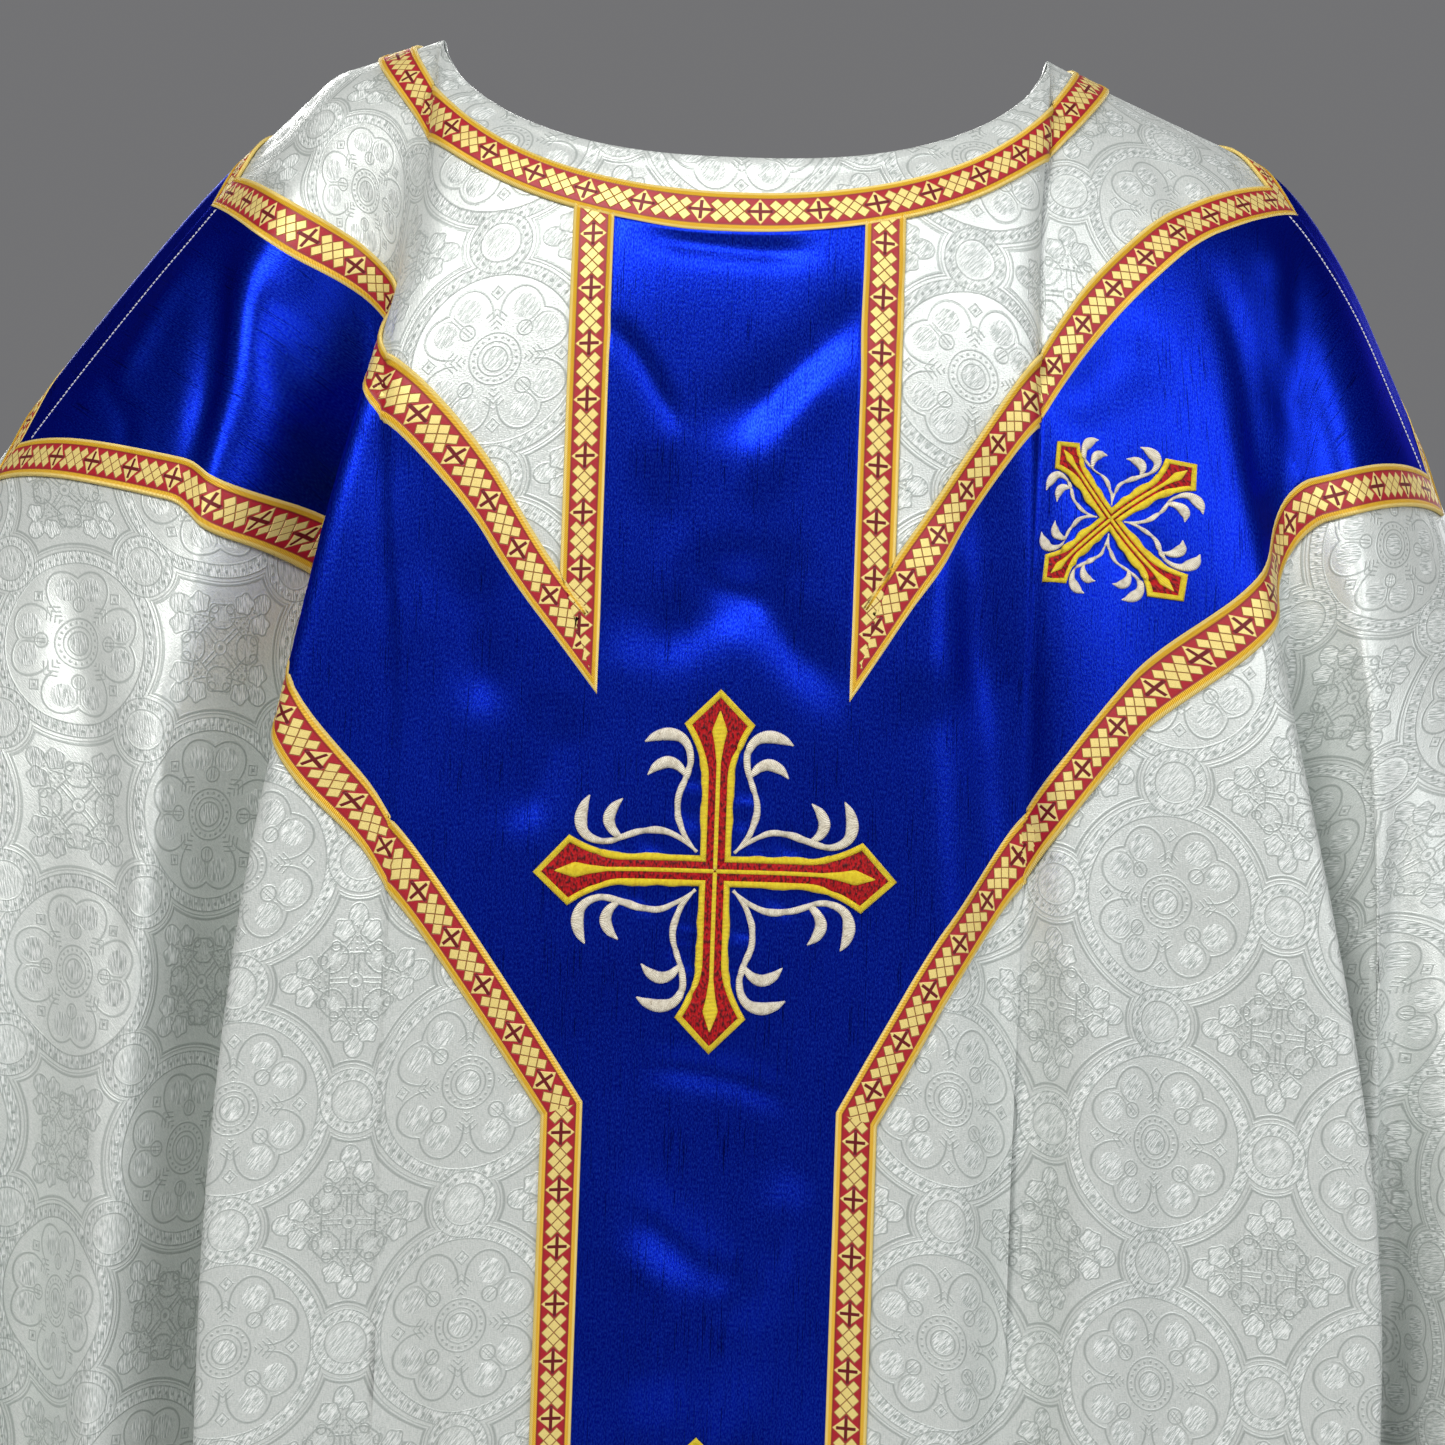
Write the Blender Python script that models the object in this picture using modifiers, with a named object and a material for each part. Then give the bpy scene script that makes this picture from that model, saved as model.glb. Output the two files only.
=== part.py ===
"""Gothic chasuble, filled out as worn with nobody in it.

The two cloth panels hang from the seam over the shoulders and arms. Braid, orphrey and
crosses lie on them. Metres, +Z up. The origin is midway between the two points where the
neck edge meets the shoulder seam, the front faces -Y, and +X is on the viewer's right.
Across is the distance from the centre line along the shoulder seam. Down is the distance
from the neck edge or the seam along a strand of the cloth.
"""
from math import cos, pi, radians, sin, tan

import bmesh
import bpy
import numpy as np
from mathutils import Vector

# Cut of the garment
NECK_HALF = 0.137
SEAM_FALL = radians(24)
LENGTH = 1.30
HALF_WIDTH = 0.76
HEM_ROUND = 3.0
HEM_LIFT = 0.37
NECK_ROUND = 2.4
NECK_LIFT = 0.6

# Cloth and trims
PANEL_WALL = 0.0016
ORPHREY_WALL = 0.0011
BRAID_WALL = 0.0013
CROSS_WALL = 0.0011
GAP = 0.0003
SEAM_GAP = 0.0006
LAID = 0.0004
ON_ORPHREY = 0.0020

BRAID = 0.0175
COLUMN_HALF = 0.070
NECK_BRAID_IN = 0.018
NECK_BRAID_NARROW = 0.006
V_TIP = -0.347
FORK = -0.521

# Stretches of the braids along the arms, on the left half (-1) and the right (1)
INNER_BENDS = {
    # starts across the cut, degrees from upright
    -1: ((COLUMN_HALF - BRAID, 37.0), (0.0900, 30.5), (0.1320, 36.5)),
    1: ((COLUMN_HALF - BRAID, 31.0), (0.1000, 33.2), (0.2050, 46.0)),
}
OUTER_BENDS = {
    # starts across the cut, degrees from upright
    -1: ((COLUMN_HALF, 33.0), (0.1650, 25.0), (0.2220, 43.0), (0.2620, 57.5)),
    1: ((COLUMN_HALF, 27.3), (0.1035, 33.9), (0.2105, 38.0), (0.2421, 30.0), (0.2680, 53.8)),
}

# Cross, from its centre to a tip, and its pointed heads
CROSS_REACH = 0.076
BAR_HALF = 0.0065
HEAD_HALF = 0.0145
HEAD_POINT = 0.015
HEAD_TAPER = 0.018
CROSSES = (
    # name, across, height on the cut, scale, turn in degrees
    ("cross_centre", -0.001, -0.419, 1.0, 0),
    ("cross_lower", -0.001, -0.701, 0.62, 0),
    ("cross_arm_left", -0.180, -0.242, 0.56, 45),
    ("cross_arm_right", 0.171, -0.246, 0.56, 40),
)

# Shoulder and arm line: distance from the neck point, slope in degrees on each half
RIDGE = (
    # run, left, right
    (0.000, 20, 26),
    (0.046, 22, 26),
    (0.060, 48, 27),
    (0.085, 49, 28),
    (0.115, 50, 38),
    (0.140, 51, 52),
    (0.200, 53, 65),
    (0.645, 68, 69),
)

# Depth of the hollow and slope of the cloth at its upper edge, across the garment
BODY = (
    # across, front reach, back reach, front slope, back slope, back rise
    (0.000, 0.118, 0.116, 62, 48, 0.000),
    (0.100, 0.116, 0.114, 30, 22, 0.000),
    (0.137, 0.112, 0.112, 13, -13, 0.000),
    (0.200, 0.103, 0.106, 24, -24, 0.008),
    (0.270, 0.088, 0.094, 42, -42, 0.014),
    (0.400, 0.078, 0.084, 46, -46, 0.014),
    (0.780, 0.066, 0.070, 48, -48, 0.014),
)

# Neck edge: depth on the cut, and how far forward and down it lies when worn
NECK = {
    "front": {"cut": 0.115, "reach": 0.100, "drop": 0.066},
    "back": {"cut": 0.085, "reach": 0.074, "drop": 0.052},
}
SWING = {"front": 0.022, "back": 0.016}
ROWS = {"front": 15, "back": 12}
ROW_CROWDING = 1.35
COLUMNS = (
    # up to, steps
    (0.085, 3),
    (0.137, 4),
    (0.270, 8),
    (0.300, 2),
    (0.780, 20),
)

# Folds: across at the top and once slanted, half width, out from the body, lean to the
# cuff, and the distances down where each starts and is full
SLANTED = 0.55
FRONT_LEFT = (
    # top, low, wide, out, lean, start, full
    (0.112, 0.135, 0.034, -0.007, 0.000, 0.36, 0.70),
    (0.118, 0.202, 0.042, 0.008, 0.013, 0.04, 0.26),
    (0.170, 0.264, 0.060, -0.060, -0.038, 0.01, 0.25),
    (0.290, 0.318, 0.056, 0.012, -0.012, 0.04, 0.30),
)
FRONT_RIGHT = (
    # top, low, wide, out, lean, start, full
    (0.098, 0.138, 0.032, -0.014, 0.000, 0.10, 0.34),
    (0.165, 0.180, 0.036, 0.006, 0.000, 0.20, 0.50),
    (0.206, 0.262, 0.052, 0.008, 0.040, 0.08, 0.52),
    (0.256, 0.312, 0.050, -0.056, -0.014, 0.04, 0.38),
    (0.165, 0.165, 0.090, 0.000, -0.010, 0.00, 0.14),
)
BACK_LEFT = (
    # top, low, wide, out, lean, start, full
    (0.060, 0.070, 0.040, 0.004, 0.000, 0.45, 0.90),
    (0.118, 0.128, 0.042, -0.014, 0.000, 0.24, 0.70),
    (0.178, 0.206, 0.046, 0.012, 0.018, 0.14, 0.46),
    (0.228, 0.262, 0.046, -0.050, -0.022, 0.12, 0.44),
)
BACK_RIGHT = (
    # top, low, wide, out, lean, start, full
    (0.050, 0.056, 0.036, -0.006, 0.000, 0.50, 0.90),
    (0.126, 0.142, 0.044, -0.012, 0.000, 0.20, 0.60),
    (0.190, 0.214, 0.046, 0.012, 0.020, 0.12, 0.50),
    (0.238, 0.276, 0.046, -0.052, -0.020, 0.12, 0.42),
)
SLEEVE = (
    # top, low, wide, out, lean, start, full
    (0.360, 0.364, 0.044, -0.036, 0.000, 0.16, 0.55),
    (0.420, 0.424, 0.046, 0.022, 0.006, 0.14, 0.52),
    (0.480, 0.482, 0.044, -0.034, 0.000, 0.12, 0.48),
    (0.540, 0.542, 0.046, 0.024, 0.004, 0.10, 0.45),
    (0.600, 0.602, 0.044, -0.032, 0.000, 0.10, 0.40),
    (0.662, 0.662, 0.044, 0.018, 0.004, 0.08, 0.34),
    (0.722, 0.722, 0.040, -0.024, 0.000, 0.06, 0.28),
)
FOLDS = {
    ("front", -1): FRONT_LEFT + SLEEVE,
    ("front", 1): FRONT_RIGHT + SLEEVE,
    ("back", -1): BACK_LEFT + SLEEVE,
    ("back", 1): BACK_RIGHT + SLEEVE,
}

WHITE = (0.78, 0.80, 0.79)
BLUE = (0.010, 0.016, 0.34)
GOLD = (0.72, 0.50, 0.16)
RED = (0.42, 0.02, 0.03)


def smooth(low, high, value):
    """0 before low, 1 after high, with a soft turn at both."""
    t = np.clip((value - low) / (high - low), 0.0, 1.0)
    return t * t * (3 - 2 * t)


def column(table, index):
    """One named column of a table as an array."""
    return np.array([row[index] for row in table], dtype=float)


def body(across, index):
    """A column of the BODY table, read at a distance from the centre line."""
    return float(np.interp(across, column(BODY, 0), column(BODY, index)))


def ridge_point(half, run):
    """Place of the shoulder seam, a distance out from the neck point."""
    runs = np.linspace(0, run, 60)
    slopes = np.radians(np.interp(runs, column(RIDGE, 0), column(RIDGE, 1 if half < 0 else 2)))
    step = run / (len(runs) - 1)
    x = NECK_HALF + float(np.sum(np.cos(slopes[:-1]) * step))
    z = -float(np.sum(np.sin(slopes[:-1]) * step))
    return x, z


def neck_shape(across):
    """Share of the neck's full depth at a distance from the centre line."""
    return (1 - (min(across, NECK_HALF) / NECK_HALF) ** NECK_ROUND) ** NECK_LIFT


def upper_edge(side, half, across):
    """Worn x, distance from the seam plane and height where a strand starts."""
    if across >= NECK_HALF:
        x, z = ridge_point(half, across - NECK_HALF)
        return x, SEAM_GAP, z
    share = across / NECK_HALF
    out = NECK[side]["reach"] * (1 - share * share) ** 0.5 + SEAM_GAP
    return across, out, -NECK[side]["drop"] * neck_shape(across)


def cut_x(across):
    """Distance from the centre line on the flat cut."""
    return min(across, NECK_HALF) + max(across - NECK_HALF, 0) * cos(SEAM_FALL)


def cut_top(side, across):
    """Height of the upper edge on the flat cut."""
    if across < NECK_HALF:
        return -NECK[side]["cut"] * neck_shape(across)
    return -(across - NECK_HALF) * sin(SEAM_FALL)


def cut_hem(x):
    """Height of the rounded hem on the flat cut."""
    return -LENGTH * (1 - (x / HALF_WIDTH) ** HEM_ROUND) ** HEM_LIFT


def strand(side, half, across, downs):
    """Worn points of one strand of cloth, at distances down from its upper edge."""
    x, out, z = upper_edge(side, half, across)
    reach = body(across, 1 if side == "front" else 2) - out
    slope = radians(body(across, 3 if side == "front" else 4))
    rise = body(across, 5) if side == "back" else 0.0
    turn = pi / 2 - slope
    waves = np.linspace(1e-6, turn, 80)
    curl = float(np.sum(np.sin(waves) / waves)) * turn / len(waves)
    radius = (reach - rise * cos(slope)) / curl
    steps = np.linspace(0, float(downs[-1]), 400)
    angle = pi / 2 - turn * np.exp(-np.maximum(steps - rise, 0) / radius)
    step = steps[1] - steps[0]
    outs = np.concatenate(([0], np.cumsum(np.cos(angle[:-1]) * step)))
    drops = np.concatenate(([0], np.cumsum(np.sin(angle[:-1]) * step)))
    outs = out + np.interp(downs, steps, outs)
    drops = np.interp(downs, steps, drops)
    outs = outs + SWING[side] * np.maximum(drops, 0)
    xs = np.full(len(downs), x)
    for top, low, wide, push, lean, start, full in FOLDS[side, half]:
        grown = smooth(start, full, downs)
        offset = (across - (top + (low - top) * smooth(0, SLANTED, downs))) / wide
        bump = np.where(np.abs(offset) < 1, 0.5 + 0.5 * np.cos(pi * offset), 0.0) * grown
        outs = outs + push * bump
        xs = xs + lean * bump
    front = -1 if side == "front" else 1
    return [Vector((half * a, front * b, z - c)) for a, b, c in zip(xs, outs, drops)]


def stations():
    """Distances from the centre line of the columns of one half."""
    marks = [0.0]
    for up_to, steps in COLUMNS:
        start = marks[-1]
        marks += [start + (up_to - start) * (i + 1) / steps for i in range(steps)]
    return marks


def panel_grid(side):
    """Worn and flat points of a panel, a list for each column from left to right."""
    marks = stations()
    across = [-m for m in reversed(marks[1:])] + marks
    rows = ROWS[side]
    worn, flat = [], []
    for place in across:
        half = -1 if place < 0 else 1
        size = abs(place)
        top = cut_top(side, size)
        length = top - cut_hem(cut_x(size))
        downs = np.array([length * (r / rows) ** ROW_CROWDING for r in range(rows + 1)])
        points = strand(side, half, size, downs)
        if size == 0:
            mirrored = strand(side, -half, size, downs)
            points = [Vector(((p.x + q.x) / 2, (p.y + q.y) / 2, p.z)) for p, q in zip(points, mirrored)]
        worn.append(points)
        flat.append([Vector((half * cut_x(size), top - d, 0)) for d in downs])
    return worn, flat


def grid_mesh(side):
    """Triangulated panel on the flat cut, which carries each point's worn place and normal."""
    worn, flat = panel_grid(side)
    mesh = bmesh.new()
    place = mesh.verts.layers.float_vector.new("place")
    normal = mesh.verts.layers.float_vector.new("normal")
    verts = []
    for worn_column, flat_column in zip(worn, flat):
        verts.append([])
        for point in worn_column:
            verts[-1].append(mesh.verts.new(point))
    for left, right in zip(verts, verts[1:]):
        for r in range(len(left) - 1):
            ring = (left[r], left[r + 1], right[r + 1], right[r])
            mesh.faces.new(ring if side == "front" else ring[::-1])
    bmesh.ops.triangulate(mesh, faces=mesh.faces[:])
    mesh.normal_update()
    for column_verts, flat_column in zip(verts, flat):
        for vert, point in zip(column_verts, flat_column):
            vert[place] = vert.co.copy()
            vert[normal] = vert.normal.copy()
            vert.co = point
    return mesh


def split(mesh, faces, start, end):
    """Cut faces along a line on the flat cut, and sort them by the side they lie on."""
    away = Vector((end.y - start.y, start.x - end.x, 0)).normalized()
    snap = 0.00004
    mark = mesh.faces.layers.int["mark"]
    crossed = []
    for face in faces:
        heights = [(v.co - start).dot(away) for v in face.verts]
        face[mark] = 1
        if min(heights) < -snap and max(heights) > snap:
            crossed.append(face)
    if crossed:
        edges = {e for f in crossed for e in f.edges}
        verts = {v for f in crossed for v in f.verts}
        bmesh.ops.bisect_plane(mesh, geom=crossed + list(edges) + list(verts), dist=snap,
                               plane_co=start, plane_no=away)
    inside, outside = [], []
    for face in mesh.faces:
        if face[mark]:
            face[mark] = 0
            middle = face.calc_center_median()
            (inside if (middle - start).dot(away) < 0 else outside).append(face)
    return inside, outside


def keep(mesh, outlines, holes=()):
    """Keep what lies inside any of some convex outlines and outside the holes."""
    mesh.faces.layers.int.new("mark")
    for left_out, shapes in ((True, outlines), (False, holes)):
        rest = mesh.faces[:]
        found = []
        for shape in shapes:
            inside, outside = rest, []
            corners = [Vector((*corner, 0)) for corner in shape]
            edges = sorted(zip(corners, corners[1:] + corners[:1]), key=lambda e: -(e[1] - e[0]).length)
            for start, end in edges:
                inside, more = split(mesh, inside, start, end)
                outside += more
            found += inside
            rest = outside
        bmesh.ops.delete(mesh, geom=rest if left_out else found, context="FACES")
    return mesh


def worn_object(name, mesh, color, shine):
    """Make an object of a piece that is already at its worn place."""
    mesh.normal_update()
    data = bpy.data.meshes.new(name)
    mesh.to_mesh(data)
    data.shade_smooth()
    obj = bpy.data.objects.new(name, data)
    obj.data.materials.append(cloth_material(name, color, shine))
    return obj


def make_panel(side):
    """Front or back panel, an open sheet with a wall on its inner side."""
    mesh = grid_mesh(side)
    place = mesh.verts.layers.float_vector["place"]
    for vert in mesh.verts:
        vert.co = vert[place]
    panel = worn_object(side + "_panel", mesh, WHITE, 0.5)
    solid = panel.modifiers.new("wall", "SOLIDIFY")
    solid.thickness = PANEL_WALL
    solid.offset = -1
    return panel


def thicken(mesh, lift, wall):
    """Lift a cut piece off its panel along the panel's own normals, and give it a wall."""
    place = mesh.verts.layers.float_vector["place"]
    normal = mesh.verts.layers.float_vector["normal"]
    loose = [v for v in mesh.verts if not v.link_faces]
    bmesh.ops.delete(mesh, geom=loose, context="VERTS")
    raised = bmesh.ops.extrude_face_region(mesh, geom=mesh.faces[:], use_keep_orig=True)
    outer = {v for v in raised["geom"] if isinstance(v, bmesh.types.BMVert)}
    for vert in mesh.verts:
        away = lift + wall if vert in outer else lift
        vert.co = vert[place] + vert[normal].normalized() * away
    bmesh.ops.recalc_face_normals(mesh, faces=mesh.faces[:])


def cloth_material(name, color, shine):
    material = bpy.data.materials.new(name)
    material.use_nodes = True
    shader = material.node_tree.nodes["Principled BSDF"]
    shader.inputs["Base Color"].default_value = (*color, 1)
    shader.inputs["Roughness"].default_value = 1 - shine
    shader.inputs["Metallic"].default_value = 0.0
    return material


def neck_outline(side, away, count=9):
    """Convex outline on the cut, at a distance outside the neck edge, closed above it."""
    depth = NECK[side]["cut"]
    corners = []
    for i in range(count + 1):
        angle = pi * i / count
        x = NECK_HALF * abs(cos(angle)) ** (2 / NECK_ROUND) * (-1 if angle < pi / 2 else 1)
        z = -depth * sin(angle) ** (2 * NECK_LIFT)
        round_x = -cos(angle) * depth
        round_z = -sin(angle) * NECK_HALF
        size = (round_x ** 2 + round_z ** 2) ** 0.5
        out = away - NECK_BRAID_NARROW * cos(angle) ** 6
        corners.append((x + out * round_x / size, z + out * round_z / size))
    past_seam = -away * tan(SEAM_FALL) - 0.003
    above = 0.3
    left, right = corners[0][0], corners[-1][0]
    return [(right, past_seam), (right, above), (left, above), (left, past_seam)] + corners[1:-1]


def arm_line(x, corner_x, corner_z, angle):
    """Height on the cut of a line that rises outward from a corner, at angle from upright."""
    return corner_z + (x - corner_x) / tan(angle)


def bend_corners(bends, start, height, above):
    """Corners on the cut of a braid's lower edge, or of a line above it, from its start angle."""
    places = [x for x, angle in bends] + [HALF_WIDTH]
    angles = [start] + [radians(angle) for x, angle in bends]
    angles.append(angles[-1])
    corners = []
    for k, x in enumerate(places):
        if k:
            height = arm_line(x, places[k - 1], height, angles[k])
        aside = (-cos(angles[k]) - cos(angles[k + 1]), sin(angles[k]) + sin(angles[k + 1]))
        mitre = above / (1 + cos(angles[k + 1] - angles[k]))
        corners.append((x + aside[0] * mitre, height + aside[1] * mitre))
    return corners


def outer_corners(half, above):
    """Corners of the outer braid's lower edge, or of a line above it, from the column out."""
    return bend_corners(OUTER_BENDS[half], 0.0, FORK, above)


def inner_corners(half, above):
    """Corners of the inner braid's lower edge, or of a line above it, from the column out."""
    return bend_corners(INNER_BENDS[half], radians(INNER_BENDS[half][0][1]), V_TIP, above)


def line_height(corners, x):
    """Height on the cut of a line through some corners."""
    (x0, z0), (x1, z1) = corners[0], corners[1]
    if x < x0:
        return z0 + (x - x0) * (z1 - z0) / (x1 - x0)
    return float(np.interp(x, [c[0] for c in corners], [c[1] for c in corners]))


def mirrored(outline, half):
    """The same outline on the left half or the right, still counter-clockwise."""
    return outline if half > 0 else [(-x, z) for x, z in reversed(outline)]


def orphrey_outlines():
    """Column from the neck to the hem, and an arm to each shoulder."""
    edge = COLUMN_HALF - BRAID - GAP / 2
    shapes = [[(-edge, -1.6), (edge, -1.6), (edge, 0.2), (-edge, 0.2)]]
    for half in (-1, 1):
        low, high = outer_corners(half, BRAID + GAP), inner_corners(half, -GAP)
        bends = [edge] + sorted(x for x, z in low + high if x > edge + GAP)
        for near, far in zip(bends, bends[1:]):
            shapes.append(mirrored([(near, line_height(low, near)), (far, line_height(low, far)),
                                    (far, line_height(high, far)), (near, line_height(high, near))], half))
    return shapes


def inner_braid_outlines(half):
    """Braid down beside the column and up along the arm, round the white triangle."""
    edge = COLUMN_HALF - BRAID
    low, high = inner_corners(half, 0), inner_corners(half, BRAID)
    high[0] = (COLUMN_HALF, line_height(high, COLUMN_HALF))
    upright = [low[0], high[0], (COLUMN_HALF, 0.2), (edge, 0.2)]
    return [upright] + stretches(low, high)


def outer_braid_outlines(half):
    """Braid from the seam down along the arm, and beside the column to the hem."""
    low, high = outer_corners(half, 0), outer_corners(half, BRAID)
    upright = [(high[0][0], -1.6), (COLUMN_HALF, -1.6), low[0], high[0]]
    return [upright] + stretches(low, high)


def stretches(low, high):
    """Outlines between the corners of a braid's two edges."""
    return [[low[k], low[k + 1], high[k + 1], high[k]] for k in range(len(low) - 1)]


def worn_steps(side, x, z, step=0.004):
    """Steps on the cut that make a step to the right and a step up on the worn cloth."""
    half = -1 if x < 0 else 1

    def place(cut_across, cut_height):
        across = min(cut_across, NECK_HALF) + max(cut_across - NECK_HALF, 0) / cos(SEAM_FALL)
        down = cut_top(side, across) - cut_height
        return strand(side, half, across, np.array([0, down]))[-1]

    here = place(abs(x), z)
    aside = (place(abs(x) + step, z) - here) * half / step
    above = (place(abs(x), z + step) - here) / step
    away = aside.cross(above).normalized()
    right = (Vector((1, 0, 0)) - away * away.x).normalized()
    frame = np.array([aside, above]).T
    return np.linalg.pinv(frame) @ np.array([right, away.cross(right)]).T


def cross_outlines(across, height, scale, turn):
    """Two bars and four pointed heads, undistorted on the worn cloth."""
    steps = worn_steps("front", across, height)
    neck = CROSS_REACH - HEAD_POINT - HEAD_TAPER
    wide = CROSS_REACH - HEAD_POINT
    bar = [(-BAR_HALF, -wide), (BAR_HALF, -wide), (BAR_HALF, wide), (-BAR_HALF, wide)]
    head = [(BAR_HALF, neck), (HEAD_HALF, wide), (0, CROSS_REACH), (-HEAD_HALF, wide), (-BAR_HALF, neck)]
    shapes = [(bar, 0), (bar, 90)] + [(head, quarter * 90) for quarter in range(4)]
    placed = []
    for shape, quarter in shapes:
        angle = radians(quarter + turn)
        corners = np.array([(x * cos(angle) - z * sin(angle), x * sin(angle) + z * cos(angle))
                            for x, z in shape])
        placed.append([(across + x, height + z) for x, z in scale * corners @ steps.T])
    return placed


def hang(name, side, outlines, holes, lift, wall, color, shine):
    """A piece that lies on one panel."""
    mesh = keep(grid_mesh(side), outlines, holes)
    thicken(mesh, lift, wall)
    return worn_object(name, mesh, color, shine)


def make_neck_braid():
    """Braid all round the neck, in one piece over both shoulder seams."""
    ring = bmesh.new()
    for side in ("front", "back"):
        mesh = keep(grid_mesh(side), [neck_outline(side, NECK_BRAID_IN + BRAID)],
                    [neck_outline(side, NECK_BRAID_IN)])
        half_ring = bpy.data.meshes.new("half_ring")
        mesh.to_mesh(half_ring)
        ring.from_mesh(half_ring)
        bpy.data.meshes.remove(half_ring)
    place = ring.verts.layers.float_vector["place"]
    on_seam = [v for v in ring.verts if abs(abs(v[place].y) - SEAM_GAP) < 0.00002]
    for vert in on_seam:
        vert[place] = Vector((vert[place].x, 0, vert[place].z))
    bmesh.ops.remove_doubles(ring, verts=on_seam, dist=0.0001)
    thicken(ring, LAID, BRAID_WALL)
    return worn_object("neck_braid", ring, GOLD, 0.5)


def make_parts():
    """All the pieces, each as its own object."""
    parts = []
    for side in ("front", "back"):
        parts.append(make_panel(side))
        collar = [neck_outline(side, NECK_BRAID_IN + BRAID + GAP)]
        parts.append(hang("orphrey_" + side, side, orphrey_outlines(), collar,
                          LAID, ORPHREY_WALL, BLUE, 0.6))
        for half, word in ((-1, "left"), (1, "right")):
            for kind, outlines in (("inner", inner_braid_outlines), ("outer", outer_braid_outlines)):
                shapes = [mirrored(shape, half) for shape in outlines(half)]
                parts.append(hang(f"braid_{kind}_{side}_{word}", side, shapes, collar,
                                  LAID, BRAID_WALL, GOLD, 0.5))
    for name, across, height, scale, turn in CROSSES:
        parts.append(hang(name, "front", cross_outlines(across, height, scale, turn), [],
                          ON_ORPHREY, CROSS_WALL, RED, 0.4))
    parts.append(make_neck_braid())
    return parts


def main():
    for old in list(bpy.data.objects):
        bpy.data.objects.remove(old, do_unlink=True)
    group = bpy.data.collections.new("gothic_chasuble")
    bpy.context.scene.collection.children.link(group)
    for obj in make_parts():
        group.objects.link(obj)


main()
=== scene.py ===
"""Looks of the gothic chasuble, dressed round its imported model.

Every piece of cloth is worked out on the flat cut (x across, z up, metres) and carried to its
worn place by drape(). Trims are built on the same cut and lifted along the cloth's normal.
"""

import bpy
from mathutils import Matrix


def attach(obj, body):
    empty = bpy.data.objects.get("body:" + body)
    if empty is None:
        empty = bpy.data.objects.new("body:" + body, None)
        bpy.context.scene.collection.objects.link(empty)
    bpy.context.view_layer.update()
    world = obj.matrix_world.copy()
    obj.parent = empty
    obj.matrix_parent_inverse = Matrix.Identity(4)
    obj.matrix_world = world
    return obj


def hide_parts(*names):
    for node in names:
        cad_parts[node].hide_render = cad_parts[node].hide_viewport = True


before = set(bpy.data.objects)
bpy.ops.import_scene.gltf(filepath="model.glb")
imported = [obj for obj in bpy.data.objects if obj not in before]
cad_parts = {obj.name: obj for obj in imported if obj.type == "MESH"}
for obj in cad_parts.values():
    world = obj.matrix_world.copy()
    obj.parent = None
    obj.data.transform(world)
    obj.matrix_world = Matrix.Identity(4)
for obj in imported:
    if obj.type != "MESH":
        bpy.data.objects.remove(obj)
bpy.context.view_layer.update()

from math import cos, pi, radians, sin, tan

import bpy
import numpy as np
from mathutils import Vector

# Cut of the garment
NECK_HALF = 0.137
SEAM_FALL = radians(24)
LENGTH = 1.30
HALF_WIDTH = 0.76
HEM_ROUND = 3.0
HEM_LIFT = 0.37
NECK_ROUND = 2.4
NECK_LIFT = 0.6
SIDE_ACROSS = 0.78

# Cloth and trims
PANEL_WALL = 0.0015
SEAM_GAP = 0.0006
LAID = 0.0004
ORPHREY_TOP = 0.0015
BRAID = 0.0175
COLUMN_HALF = 0.070
NECK_BRAID_IN = 0.018
NECK_BRAID_NARROW = 0.006
V_TIP = -0.347
FORK = -0.521
SLEEVE_GRAIN = radians(40)
# Direction in which each panel stands out from the seam
AWAY = {"front": -1, "back": 1}

# Stretches of the braids along the arms, on the left half (-1) and the right (1)
INNER_BENDS = {
    # starts across the cut, degrees from upright
    -1: ((COLUMN_HALF - BRAID, 37.0), (0.0900, 30.5), (0.1320, 36.5)),
    1: ((COLUMN_HALF - BRAID, 31.0), (0.1000, 33.2), (0.2050, 46.0)),
}
OUTER_BENDS = {
    # starts across the cut, degrees from upright
    -1: ((COLUMN_HALF, 33.0), (0.1650, 25.0), (0.2220, 43.0), (0.2620, 57.5)),
    1: ((COLUMN_HALF, 27.3), (0.1035, 33.9), (0.2105, 38.0), (0.2421, 30.0), (0.2680, 53.8)),
}
BEND_SOFT = 0.008
BEND_INWARD = 0.1

# Cross, from its centre to a tip, and its pointed heads
CROSS_REACH = 0.076
BAR_HALF = 0.0065
HEAD_HALF = 0.0145
HEAD_POINT = 0.015
HEAD_TAPER = 0.022
HEAD_CURVE = 1.7
CROSSES = (
    # name, across, height on the cut, scale, turn in degrees
    ("cross_centre", -0.001, -0.419, 1.0, 0),
    ("cross_lower", -0.001, -0.701, 0.62, 0),
    ("cross_arm_left", -0.180, -0.242, 0.56, 45),
    ("cross_arm_right", 0.171, -0.246, 0.56, 40),
)

# Shoulder and arm line: distance from the neck point, slope in degrees on each half
RIDGE_REACH = 0.80
RIDGE = (
    # run, left, right
    (0.000, 20, 26),
    (0.046, 22, 26),
    (0.060, 48, 27),
    (0.085, 49, 28),
    (0.115, 50, 38),
    (0.140, 51, 52),
    (0.200, 53, 65),
    (0.645, 68, 69),
)

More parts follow.
